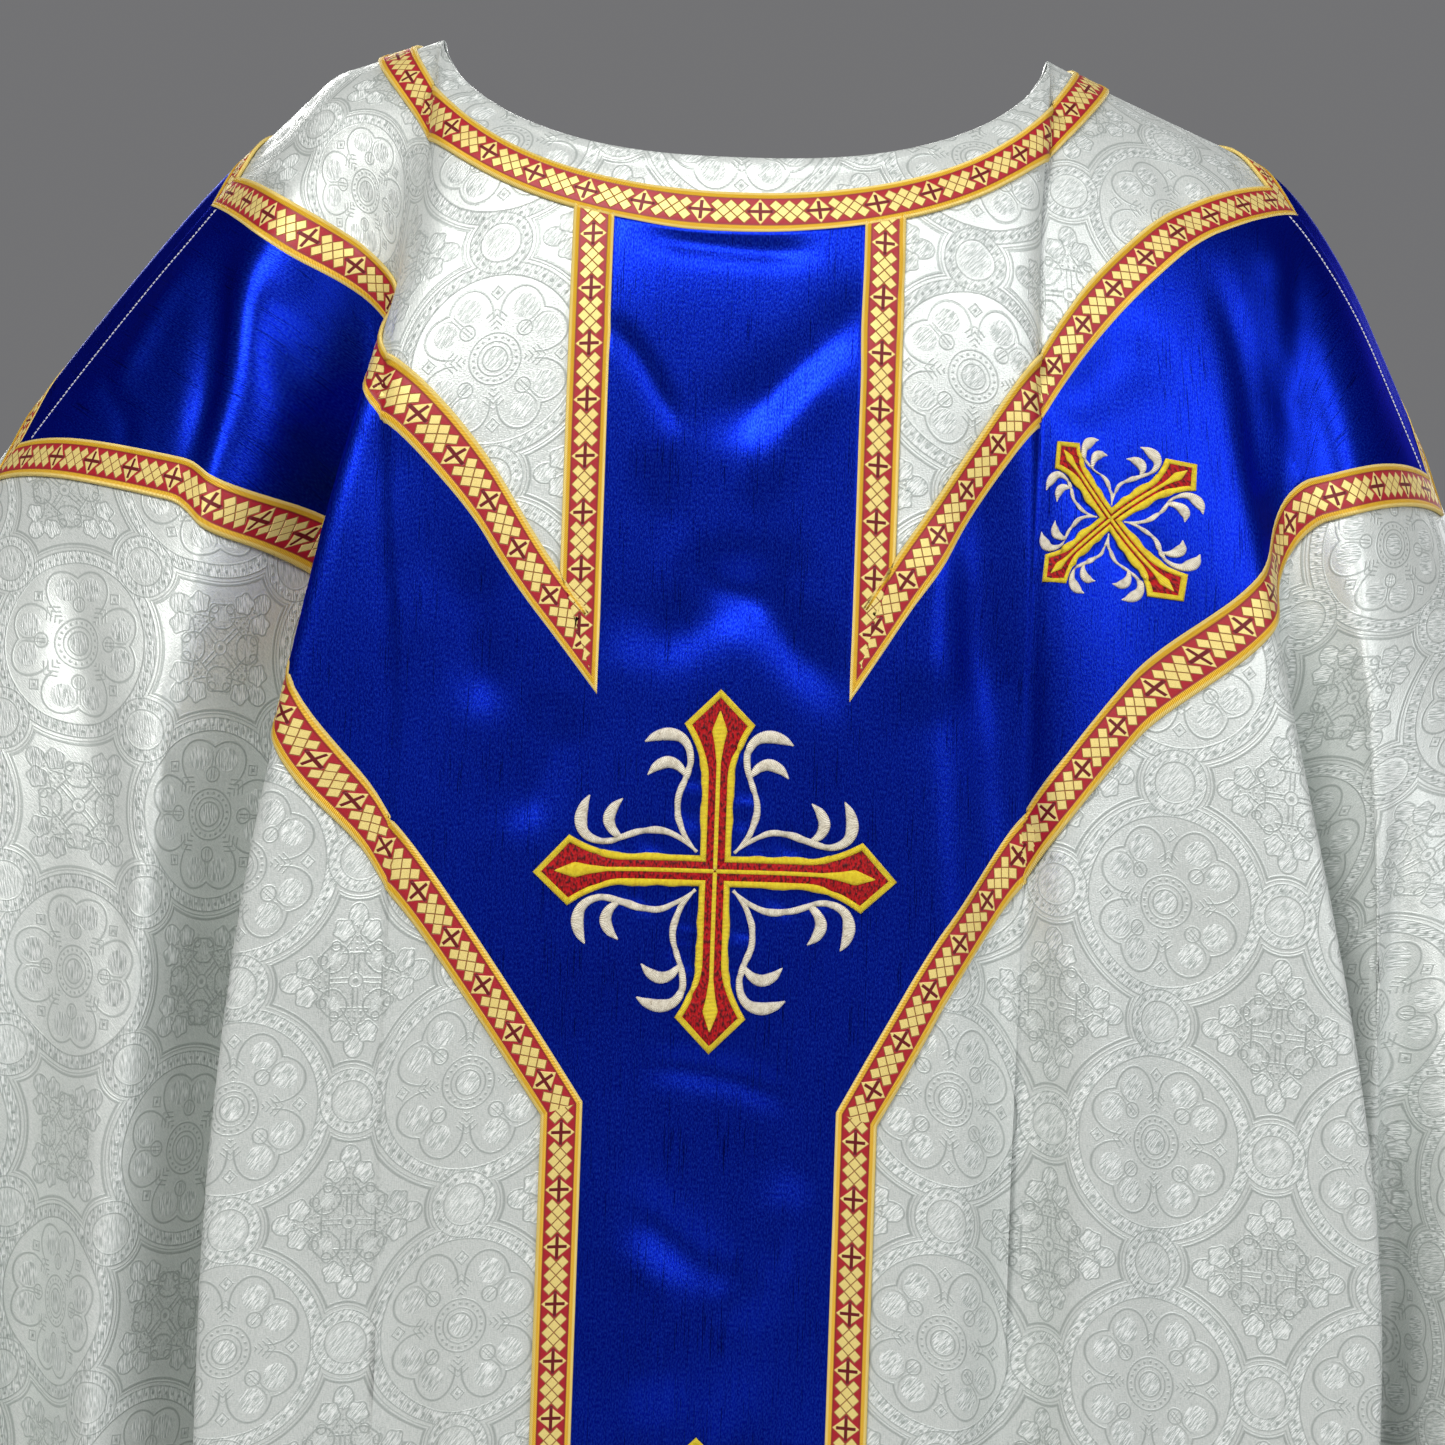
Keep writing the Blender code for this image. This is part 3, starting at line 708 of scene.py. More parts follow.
def arm_line(x, corner_x, corner_z, angle):
    """Height on the cut of a line that rises outward from a corner, at angle from upright."""
    return corner_z + (x - corner_x) / tan(angle)


def bend_corners(bends, start, height, above):
    """Corners on the cut of a braid's lower edge, or of a line above it, from its start angle."""
    places = [x for x, angle in bends] + [HALF_WIDTH]
    angles = [start] + [radians(angle) for x, angle in bends]
    angles.append(angles[-1])
    corners = []
    for k, x in enumerate(places):
        if k:
            height = arm_line(x, places[k - 1], height, angles[k])
        aside = (-cos(angles[k]) - cos(angles[k + 1]), sin(angles[k]) + sin(angles[k + 1]))
        mitre = above / (1 + cos(angles[k + 1] - angles[k]))
        corners.append((x + aside[0] * mitre, height + aside[1] * mitre))
    return corners


def soft_line(corners, x):
    """Height on the cut of a line through some corners, rounded a little at its bends."""
    (x0, z0), (x1, z1) = corners[:2]
    inward = (x0 - BEND_INWARD, z0 - BEND_INWARD * (z1 - z0) / (x1 - x0))
    xs, zs = zip(inward, *corners)
    return sum(np.interp(x + BEND_SOFT * k, xs, zs) for k in SOFTENED) / len(SOFTENED)


def outer_line(half, x, above):
    """Height on the cut of the outer braid's lower edge, or of a line above it."""
    return soft_line(bend_corners(OUTER_BENDS[half], 0.0, FORK, above), x)


def inner_line(half, x, above):
    """Height on the cut of the inner braid's lower edge, or of a line above it."""
    bends = INNER_BENDS[half]
    return soft_line(bend_corners(bends, radians(bends[0][1]), V_TIP, above), x)


def seam_line(x):
    """Height on the cut of the shoulder seam."""
    return -(x - NECK_HALF) * tan(SEAM_FALL)


# Places across the cut where lines are tried against the seam, and points of the neck's curve
SEAM_TRIES = np.linspace(COLUMN_HALF, 0.72, 6000)
NECK_POINTS = 240


def meets_seam(line, half, above, gap=0.0):
    """Distance out on the cut where a rising line comes within a gap of the seam."""
    over = line(half, SEAM_TRIES, above) >= seam_line(SEAM_TRIES) - gap
    return float(SEAM_TRIES[np.argmax(over)])


def neck_curve(side, gap):
    """Places on the cut at a distance outside the neck edge, from the left seam to the right."""
    angle = np.linspace(0, pi, NECK_POINTS)
    depth = NECK[side]["cut"]
    x = NECK_HALF * np.abs(np.cos(angle)) ** (2 / NECK_ROUND) * np.where(angle < pi / 2, -1, 1)
    z = -depth * np.sin(angle) ** (2 * NECK_LIFT)
    round_x, round_z = -np.cos(angle) * depth, -np.sin(angle) * NECK_HALF
    size = np.hypot(round_x, round_z)
    out = gap - NECK_BRAID_NARROW * np.cos(angle) ** 6
    x, z = x + out * round_x / size, z + out * round_z / size
    below = z < seam_line(np.abs(x))
    x, z = x[below], z[below]
    end = abs(x[0])
    return (np.concatenate(([-end], x, [end])),
            np.concatenate(([seam_line(end)], z, [seam_line(end)])))


# Orphrey: how far its edge is tucked under the braids, its mesh step and its room at the seam
TUCK = 0.0015
ORPHREY_STEP = 0.0028
SEAM_ROOM = 0.0005


def orphrey_column(side, edge):
    """Grid of the column on the cut, and its numbers of rows above and beside the arms."""
    lows = [float(outer_line(half, edge, BRAID - TUCK)) for half in (-1, 1)]
    highs = [float(inner_line(half, edge, TUCK)) for half in (-1, 1)]
    xs = np.linspace(-edge, edge, round(2 * edge / ORPHREY_STEP) + 1)
    tops = np.interp(xs, *neck_curve(side, NECK_BRAID_IN + BRAID - TUCK))
    hems = cut_hem(xs)
    high_rows = round((float(tops.min()) - max(highs)) / ORPHREY_STEP)
    arm_rows = round((sum(highs) - sum(lows)) / 2 / ORPHREY_STEP)
    low_rows = round((min(lows) - hems[0]) / ORPHREY_STEP)
    columns = []
    for x, top, hem in zip(xs, tops, hems):
        high, low = (float(np.interp(x, (-edge, edge), ends)) for ends in (highs, lows))
        columns.append(np.concatenate((np.linspace(top, high, high_rows + 1)[:-1],
                                       np.linspace(high, low, arm_rows + 1)[:-1],
                                       np.linspace(low, hem, low_rows + 1))))
    zs = np.array(columns)
    return np.stack((np.repeat(xs[:, None], zs.shape[1], axis=1), zs), axis=-1), high_rows, arm_rows


def orphrey_arm(half, edge, rows):
    """Grid of an arm on the cut, from the column's side to where its lower edge meets the seam."""
    meets = meets_seam(outer_line, half, BRAID - TUCK, SEAM_ROOM)
    turn = meets_seam(inner_line, half, TUCK)
    stations = np.concatenate((np.linspace(edge, turn, round((turn - edge) / ORPHREY_STEP) + 1)[:-1],
                               np.linspace(turn, meets, round((meets - turn) / ORPHREY_STEP) + 1)))
    upper = np.where(stations > turn - 1e-6, seam_line(stations), inner_line(half, stations, TUCK))
    zs = np.linspace(upper, outer_line(half, stations, BRAID - TUCK), rows + 1, axis=1)
    return np.stack((np.repeat(half * stations[:, None], rows + 1, axis=1), zs), axis=-1)


def make_orphrey(side, material):
    """Blue column from the neck to the hem, with an arm to each shoulder, in one piece."""
    edge = COLUMN_HALF - BRAID + TUCK
    column, high_rows, arm_rows = orphrey_column(side, edge)
    columns, rows = column.shape[:2]
    verts = [column.reshape(-1, 2)]
    quads = [grid_quads(columns, rows, side == "back")]
    for half in (-1, 1):
        arm = orphrey_arm(half, edge, arm_rows)
        count = sum(len(part) for part in verts)
        own = grid_quads(len(arm), arm_rows + 1, (side == "back") != (half < 0)) + count
        # The first points of the arm are the column's own
        first = (0 if half < 0 else (columns - 1) * rows) + high_rows
        quads.append(np.where(own <= count + arm_rows, own - count + first, own))
        verts.append(arm.reshape(-1, 2))
    used, quads = np.unique(np.concatenate(quads), return_inverse=True)
    quads = quads.reshape(-1, 4)
    flat = np.concatenate(verts)[used]
    points, normals = drape(side, flat[:, 0], flat[:, 1])
    corners = flat[quads]
    across = across_of(corners[..., 0])
    uv = grain(side, across, cut_top(side, np.abs(across)) - corners[..., 1])
    orphrey = shell("orphrey_satin_" + side, points, normals, quads, uv, ORPHREY_TOP, ORPHREY_TOP - LAID,
                    material)
    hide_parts("orphrey_" + side)


# Section of the braid: two cords along each edge and a raised woven field between them
BRAID_PROFILE = (
    # across, up from the cloth
    (-0.00875, 0.0003), (-0.00880, 0.0011), (-0.00820, 0.0019), (-0.00750, 0.0016),
    (-0.00680, 0.0019), (-0.00610, 0.0014), (-0.0052, 0.0015), (-0.0026, 0.0017),
    (0.0, 0.0016), (0.0026, 0.0017), (0.0052, 0.0015), (0.00610, 0.0014),
    (0.00680, 0.0019), (0.00750, 0.0016), (0.00820, 0.0019), (0.00880, 0.0011),
    (0.00875, 0.0003),
)
BRAID_STEP = 0.0025
BEND_STEP = 0.003
NECK_SECTIONS = 150
# How far the braids beside the column run under the neck's, and end short of the hem
NECK_LAP = 0.002
NECK_SLOPE_ROOM = 0.004
HEM_GAP = 0.0012


def rows_along(path, start_cut, end_cut):
    """Sections of a braid along a bent line on the cut, mitred at its corners.

    Each has its middle, sideways vector, run and direction, and whether it stands at the place
    where the stretch before it ended.
    """
    heads = [(b - a) / np.linalg.norm(b - a) for a, b in zip(path, path[1:])]
    sides = [np.array((-h[1], h[0])) for h in heads]
    cuts = [start_cut / np.dot(start_cut, sides[0])]
    for a, b in zip(sides, sides[1:]):
        cuts.append((a + b) / (1 + np.dot(a, b)))
    cuts.append(end_cut / np.dot(end_cut, sides[-1]))
    sections = []
    run = 0.0
    for k, head in enumerate(heads):
        length = np.linalg.norm(path[k + 1] - path[k])
        count = max(round(length / BRAID_STEP), 1)
        for r in range(count + 1):
            f = r / count
            middle = path[k] * (1 - f) + path[k + 1] * f
            cut = cuts[k] * (1 - f) + cuts[k + 1] * f
            sections.append((middle, cut, run + f * length, head, r == 0 and k > 0))
        run += length
    return sections


def strip_mesh(side, sections):
    """Worn points and runs of a braid's sections on one panel, and which of them repeat a place."""
    middles, cuts, runs, heads, repeats = (np.array(part) for part in zip(*sections))
    across, lift = np.array(BRAID_PROFILE).T
    aside = cuts[:, None] * across[:, None]
    places = middles[:, None] + aside
    points, normals = drape(side, places[..., 0], places[..., 1])
    runs = runs[:, None] + np.sum(aside * heads[:, None], axis=-1)
    return points + normals * lift[:, None], runs, repeats


def tube_faces(rows, ring, flip, closed, repeats=None):
    """Quads of a tube, given as lists of corner (row, place) pairs."""
    quads = []
    last = rows if closed else rows - 1
    for r in range(last):
        nxt = (r + 1) % rows
        if repeats is not None and nxt and repeats[nxt]:
            continue
        for c in range(ring):
            d = (c + 1) % ring
            quad = [(r, c), (nxt, c), (nxt, d), (r, d)]
            quads.append(quad[::-1] if flip else quad)
    return quads


def end_caps(last, ring, flip):
    """The two faces that close a tube with rows 0 to last."""
    caps = (list(range(ring)), [last * ring + c for c in reversed(range(ring))])
    return [cap[::-1] if flip else cap for cap in caps]


def make_braid(name, side, path, start_cut, end_cut, material):
    """A braid laid on one panel along a path on the cut."""
    verts, runs, repeats = strip_mesh(side, rows_along(path, start_cut, end_cut))
    middle = len(BRAID_PROFILE) // 2
    worn = np.linalg.norm(np.diff(verts[:, middle], axis=0), axis=1)
    runs = np.concatenate(([0], np.cumsum(worn)))[:, None] + runs - runs[:, middle:middle + 1]
    rows, ring = verts.shape[:2]
    number = np.cumsum(~repeats) - 1
    across = [t for t, lift in BRAID_PROFILE]
    flip = side == "back"
    faces, corners = [], []
    for quad in tube_faces(rows, ring, flip, False, repeats):
        faces.append([int(number[r]) * ring + c for r, c in quad])
        corners += [(runs[r, c], across[c]) for r, c in quad]
    for cap, r in zip(end_caps(int(number[-1]), ring, flip), (0, rows - 1)):
        faces.append(cap)
        corners += [(runs[r, n % ring], across[n % ring]) for n in cap]
    return make_object(name, verts[~repeats].reshape(-1, 3), faces, material, corners)


def arm_path(line, half, corner_x):
    """Middle of a braid on the cut, from its corner at the column out to the seam."""
    meets = meets_seam(line, half, BRAID / 2)
    xs = np.linspace(corner_x, meets, round((meets - corner_x) / BEND_STEP) + 1)
    return [(x, float(line(half, x, BRAID / 2))) for x in xs]


def make_braids(side, material):
    """The four braids of one panel."""
    column = COLUMN_HALF - BRAID / 2
    seam_dir = (1.0, -tan(SEAM_FALL))
    neck_x, neck_z = neck_curve(side, NECK_BRAID_IN + BRAID - NECK_LAP)
    top = (column, float(np.interp(column, neck_x, neck_z)))
    beside = np.interp((column - NECK_SLOPE_ROOM, column + NECK_SLOPE_ROOM), neck_x, neck_z)
    rise = float(beside[1] - beside[0]) / (2 * NECK_SLOPE_ROOM)
    hem = (column, float(cut_hem(column)) + HEM_GAP)
    for half, word in ((-1, "left"), (1, "right")):
        flip = np.array((half, 1.0))
        routes = {
            "inner": ([top] + arm_path(inner_line, half, column), (1.0, rise)),
            "outer": ([hem] + arm_path(outer_line, half, column), (1.0, 0.0)),
        }
        for kind, (path, start) in routes.items():
            path = [np.array(p) * flip for p in path]
            name = f"braid_{kind}_{side}_{word}"
            piece = make_braid(name + "_woven", side, path, np.array(start) * flip,
                               np.array(seam_dir) * flip, material)
            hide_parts(name)
            length = float(sum(np.linalg.norm(b - a) for a, b in zip(path, path[1:])))


def make_neck_braid(material):
    """One braid round the neck, over both shoulder seams."""
    rings = []
    length = 0.0
    for side, order in (("front", 1), ("back", -1)):
        columns = []
        for t, lift in BRAID_PROFILE:
            x, z = neck_curve(side, NECK_BRAID_IN + BRAID / 2 - t)
            run = np.concatenate(([0], np.cumsum(np.hypot(np.diff(x), np.diff(z)))))
            at = np.linspace(0, run[-1], NECK_SECTIONS + 1)
            x, z = np.interp(at, run, x)[::order], np.interp(at, run, z)[::order]
            points, normals = drape(side, x, z)
            if t == 0:
                length += float(run[-1])
            columns.append((points, normals, lift))
        rings.append(columns)
    verts = []
    for index in range(2 * NECK_SECTIONS):
        part, r = divmod(index, NECK_SECTIONS)
        row = []
        for points, normals, lift in rings[part]:
            point, normal = points[r], normals[r]
            if r == 0:
                other_points, other_normals, _ = rings[1 - part][len(row)]
                point = (point + other_points[NECK_SECTIONS]) / 2
                normal = unit(normal + other_normals[NECK_SECTIONS])
            row.append(point + normal * lift)
        verts.append(row)
    verts = np.array(verts)
    rows, ring = verts.shape[:2]
    faces, corners = [], []
    for quad in tube_faces(rows, ring, False, True):
        faces.append([r * ring + c for r, c in quad])
        wrapped = quad[1][0] == 0 or quad[0][0] == rows - 1
        for r, c in quad:
            turn = rows if wrapped and r == 0 else r
            corners.append((turn / rows * length, BRAID_PROFILE[c][0]))
    piece = make_object("neck_braid_woven", verts.reshape(-1, 3), faces, material, corners)
    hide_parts("neck_braid")


def head_half(s):
    """Half width of a cross's arm at a distance from its centre."""
    wide = CROSS_REACH - HEAD_POINT
    neck = wide - HEAD_TAPER
    flare = np.clip((s - neck) / HEAD_TAPER, 0, 1) ** HEAD_CURVE
    bar = BAR_HALF + (HEAD_HALF - BAR_HALF) * flare
    point = HEAD_HALF * (CROSS_REACH - s) / HEAD_POINT
    return np.where(s <= wide, bar, point)


def join(parts):
    """One mesh from several (verts, faces, corners)."""
    verts, faces, corners, count = [], [], [], 0
    for v, f, c in parts:
        verts.append(v)
        faces += [[n + count for n in face] for face in f]
        corners += list(c)
        count += len(v)
    return np.concatenate(verts), faces, corners


def lifted(flat, lifts, placing):
    """Worn points of places in a placing's own sizes, at given heights off the cloth."""
    spots = flat @ placing["steps"].T + np.array(placing["at"])
    points, normals = drape(placing["side"], spots[..., 0], spots[..., 1])
    return points + normals * lifts[..., None]


# Raised rows of stitches: roundness of the section, least mitre at a bend, and rise with width
ROW_ROUND = 0.8
ROW_MITRE = 0.35
ROW_RISE = 1.6


def half_round(count):
    """Section of a raised row of stitches: places across from -1 to 1, and shares of its height."""
    angle = np.linspace(pi, 0, count)
    return np.cos(angle), np.sin(angle) ** ROW_ROUND


def stitched_row(middle, width, base, height, placing, closed=False, count=7):
    """A raised satin-stitched line of changing width along a path in the cross's own sizes."""
    if closed:
        ahead = np.roll(middle, -1, axis=0) - middle
        behind = middle - np.roll(middle, 1, axis=0)
    else:
        ahead = np.diff(middle, axis=0, append=middle[-1:] * 2 - middle[-2:-1])
        behind = np.diff(middle, axis=0, prepend=middle[:1] * 2 - middle[1:2])
    ahead, behind = unit(ahead), unit(behind)
    left_a = np.stack((-ahead[:, 1], ahead[:, 0]), axis=-1)
    left_b = np.stack((-behind[:, 1], behind[:, 0]), axis=-1)
    side = (left_a + left_b) / np.maximum(1 + np.sum(left_a * left_b, axis=1, keepdims=True), ROW_MITRE)
    t, rise = half_round(count)
    spots = middle[:, None, :] + side[:, None, :] * (t[None, :, None] * width[:, None, None] / 2)
    tall = height * np.minimum(width / np.max(width) * ROW_RISE, 1.0)
    scale = placing["scale"]
    flip = placing["side"] == "back"
    verts = lifted(spots, base + rise * tall[:, None], placing)
    rows, ring = verts.shape[:2]
    run = np.concatenate(([0], np.cumsum(np.linalg.norm(np.diff(middle, axis=0), axis=1)))) * scale
    whole = run[-1] + np.linalg.norm(middle[0] - middle[-1]) * scale
    faces, corners = [], []
    for quad in tube_faces(rows, ring, flip, closed):
        faces.append([r * ring + c for r, c in quad])
        wraps = closed and {r for r, c in quad} == {0, rows - 1}
        for r, c in quad:
            corners.append((whole if wraps and r == 0 else run[r], t[c] * width[r] / 2 * scale))
    if not closed:
        for cap, r in zip(end_caps(rows - 1, ring, flip), (0, rows - 1)):
            faces.append(cap)
            corners += [(run[r], 0.0)] * ring
    return verts.reshape(-1, 3), faces, corners


def curve_through(points, count):
    """A smooth curve through given points, as columns of x, z and width."""
    points = np.array(points, float)
    padded = np.concatenate((points[:1] * 2 - points[1:2], points, points[-1:] * 2 - points[-2:-1]))
    found = []
    for k in range(1, len(padded) - 2):
        p0, p1, p2, p3 = padded[k - 1:k + 3]
        for f in np.linspace(0, 1, count, endpoint=False):
            found.append(0.5 * (2 * p1 + (p2 - p0) * f + (2 * p0 - 5 * p1 + 4 * p2 - p3) * f ** 2
                                + (3 * p1 - p0 - 3 * p2 + p3) * f ** 3))
    found.append(padded[-2])
    return np.array(found)


# Tendrils beside a cross's upright arm, in millimetres from the cross's centre
STEM = (
    # across, up, width
    (8.0, 7.6, 1.0), (13.4, 15.0, 2.2), (16.5, 22.7, 2.7), (16.3, 30.5, 2.8), (13.8, 38.2, 2.9),
    (11.9, 44.8, 3.0), (12.5, 50.8, 3.3), (15.8, 55.2, 4.3), (21.2, 56.6, 5.5), (26.8, 55.4, 4.0),
    (31.0, 53.2, 0.6),
)
LEAF = (
    # across, up, width
    (13.6, 39.6, 1.8), (16.8, 43.4, 4.0), (21.2, 44.9, 5.1), (25.8, 43.0, 4.1), (29.4, 39.4, 0.5),
)


# Widths of a cross's gold lines, and heights of its stitches
OUTLINE_WIDE = 0.0028
CORE_WIDE = 0.0018
FILLING_HIGH = 0.0009
OUTLINE_HIGH = 0.0015
CORE_LIFT = 0.0008
CORE_HIGH = 0.0010
TENDRIL_HIGH = 0.0012
# How much bolder a small cross's gold lines are, and plumper its tendrils from some width on
BOLDER = -0.65
PLUMPER = 2.6
PLUMP_FROM = 0.003
# Room of the filling below each point, for the outline
POINT_ROOM = 0.0016
# Core of an arm, which widens to a drop
DROP_START = 0.045
DROP_END = 0.067
DROP = (
    # from the centre, width
    (0, 0.0018), (DROP_START, 0.0019), (0.0525, 0.0040), (0.0585, 0.0068), (DROP_END, 0.0003),
)


def cross_filling(placing, inset):
    """Red filling, one arm at a time, each from the centre's diagonals to its point."""
    wide = CROSS_REACH - HEAD_POINT
    ts = np.linspace(-1, 1, 9)
    stops = np.concatenate((np.linspace(0.00002, wide, 40),
                            np.linspace(wide, CROSS_REACH - POINT_ROOM, 9)[1:]))
    halves = np.minimum(head_half(stops) - inset, stops)
    flat = np.stack((ts * halves[:, None], np.repeat(stops[:, None], len(ts), axis=1)), axis=-1)
    lifts = np.broadcast_to(ORPHREY_TOP + FILLING_HIGH * (1 - 0.5 * ts ** 4), flat.shape[:2])
    parts = []
    for quarter in range(4):
        spots = quarter_turn(flat, quarter)
        verts = lifted(spots, lifts, placing)
        faces = grid_quads(*verts.shape[:2], True)
        uv = spots.reshape(-1, 2)[faces].reshape(-1, 2) * placing["scale"]
        parts.append((verts.reshape(-1, 3), faces.tolist(), uv))
    return parts


def cross_outline(placing, width):
    """Gold outline round all four arms."""
    inset = width / 2
    wide = CROSS_REACH - HEAD_POINT
    neck = wide - HEAD_TAPER
    places = np.concatenate((np.linspace(BAR_HALF, neck, 14), np.linspace(neck, wide, 12)[1:]))
    side = [(float(head_half(s)) - inset, s - (inset if s <= BAR_HALF else 0)) for s in places]
    arm = np.array(side + [(0.0, CROSS_REACH - inset * 1.4)] + [(-x, z) for x, z in reversed(side[1:])])
    middle = np.concatenate([quarter_turn(arm, quarter) for quarter in range(4)])
    widths = np.full(len(middle), width)
    return stitched_row(middle, widths, ORPHREY_TOP, OUTLINE_HIGH, placing, closed=True)


def cross_cores(placing, bold):
    """Gold core line and drop of each arm."""
    stops = np.concatenate((np.linspace(0.0004, DROP_START, 18),
                            np.linspace(DROP_START, DROP_END, 16)[1:]))
    width = np.maximum(np.interp(stops, *zip(*DROP)), CORE_WIDE * bold * (stops < 0.05))
    line = np.stack((np.zeros_like(stops), stops), axis=-1)
    return [stitched_row(quarter_turn(line, quarter), width, ORPHREY_TOP + CORE_LIFT, CORE_HIGH, placing)
            for quarter in range(4)]


def cross_tendrils(placing):
    """Silver tendrils on both sides of each arm, plumper on a small cross."""
    plump = (1 - placing["scale"]) * PLUMPER
    parts = []
    for points in (STEM, LEAF):
        curve = curve_through(points, 6) / 1000
        widths = curve[:, 2] + plump * np.maximum(curve[:, 2] - PLUMP_FROM, 0)
        for mirror in (1, -1):
            middle = curve[:, :2] * np.array((mirror, 1.0))
            for quarter in range(4):
                row = quarter_turn(middle, quarter)
                parts.append(stitched_row(row, widths, ORPHREY_TOP, TENDRIL_HIGH, placing))
    return parts


def make_cross(name, across, height, scale, turn, looks):
    """An embroidered cross: red filling, gold outline and cores, silver tendrils."""
    placing = cross_placing(across, height, scale, turn)
    # Stitched lines are nearly as wide on a small cross as on the large one
    bold = scale ** BOLDER
    outline_width = OUTLINE_WIDE * bold
    parts = {
        "filling": cross_filling(placing, outline_width / 2),
        "gold": [cross_outline(placing, outline_width)] + cross_cores(placing, bold),
        "tendrils": cross_tendrils(placing),
    }
    for kind, found in parts.items():
        verts, faces, corners = join(found)
        piece = make_object(f"{name}_{kind}", verts, faces, looks[kind], corners)
        if kind == "filling":
            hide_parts(name)


# Stitches beside the shoulder seam: pitch, width, distance down from it and height
STITCH = 0.0021
STITCH_WIDE = 0.0008
STITCH_AWAY = 0.0110
STITCH_HIGH = 0.0006
STITCH_SUNK = 0.00015
STITCH_CLEAR = 0.0005


def make_seam_stitches(side, material):
    """White stitches beside the seam, across the satin of both arms of one side."""
    parts = []
    placing = {"side": side, "at": (0.0, 0.0), "steps": np.eye(2), "scale": 1.0}
    for half in (-1, 1):
        start = meets_seam(inner_line, half, 0, STITCH_AWAY) + STITCH_CLEAR
        end = meets_seam(outer_line, half, BRAID, STITCH_AWAY) - STITCH_CLEAR
        xs = np.linspace(start, end, round((end - start) / 0.0003))
        middle = np.stack((half * xs, seam_line(xs) - STITCH_AWAY), axis=-1)
        run = (xs - start) / cos(SEAM_FALL)
        width = STITCH_WIDE * (0.12 + 0.88 * smooth(0.35, 0.65, np.abs(np.sin(pi * run / STITCH))))
        parts.append(stitched_row(middle, width, ORPHREY_TOP - STITCH_SUNK, STITCH_HIGH, placing, count=5))
    verts, faces, corners = join(parts)
    make_object(f"seam_stitches_{side}", verts, faces, material, corners)


def srgb(red, green, blue):
    """A colour from its 0 to 255 screen values."""
    return tuple(c / 12.92 if c <= 0.04045 else ((c + 0.055) / 1.055) ** 2.4
                 for c in (red / 255, green / 255, blue / 255))


class Term:
    """A number in a material's node tree, with the usual arithmetic."""

    def __init__(self, tree, socket):
        self.tree = tree
        self.socket = socket

    def math(self, kind, *others):
        """The result of a Math node whose first input is this one."""
        node = self.tree.nodes.new("ShaderNodeMath")
        node.operation = kind
        for slot, value in zip(node.inputs, (self, *others)):
            if isinstance(value, Term):
                self.tree.links.new(value.socket, slot)
            else:
                slot.default_value = value
        return Term(self.tree, node.outputs[0])

    def __add__(self, other):
        return self.math("ADD", other)

    def __sub__(self, other):
        return self.math("SUBTRACT", other)

    def __rsub__(self, other):
        return self * -1 + other

    def __mul__(self, other):
        return self.math("MULTIPLY", other)

    def __truediv__(self, other):
        return self.math("DIVIDE", other)

    def __abs__(self):
        return self.math("ABSOLUTE")

    def low(self, other):
        """The smaller of this and another."""
        return self.math("MINIMUM", other)

    def high(self, other):
        """The larger of this and another."""
        return self.math("MAXIMUM", other)

    def clip(self):
        """Kept between 0 and 1."""
        return self.high(0.0).low(1.0)

    def power(self, other):
        """This to the power of another."""
        return self.math("POWER", other)

    def wrap(self, pitch):
        """Distance from the nearest middle of a repeat."""
        return self.math("WRAP", pitch / 2, -pitch / 2)

    def inside(self, soft=0.25):
        """1 where a distance is below 0, with a soft edge."""
        node = self.tree.nodes.new("ShaderNodeMapRange")
        self.tree.links.new(self.socket, node.inputs["Value"])
        node.inputs["From Min"].default_value = -soft
        node.inputs["From Max"].default_value = soft
        node.inputs["To Min"].default_value = 1.0
        node.inputs["To Max"].default_value = 0.0
        return Term(self.tree, node.outputs[0])

    def line(self, half, soft=0.25):
        """1 on a line where a distance is 0."""
        return (abs(self) - half).inside(soft)


def away(x, z, at_x=0.0, at_z=0.0):
    """Distance from a place."""
    across = x - at_x
    up = z - at_z
    return (across * across + up * up).power(0.5)


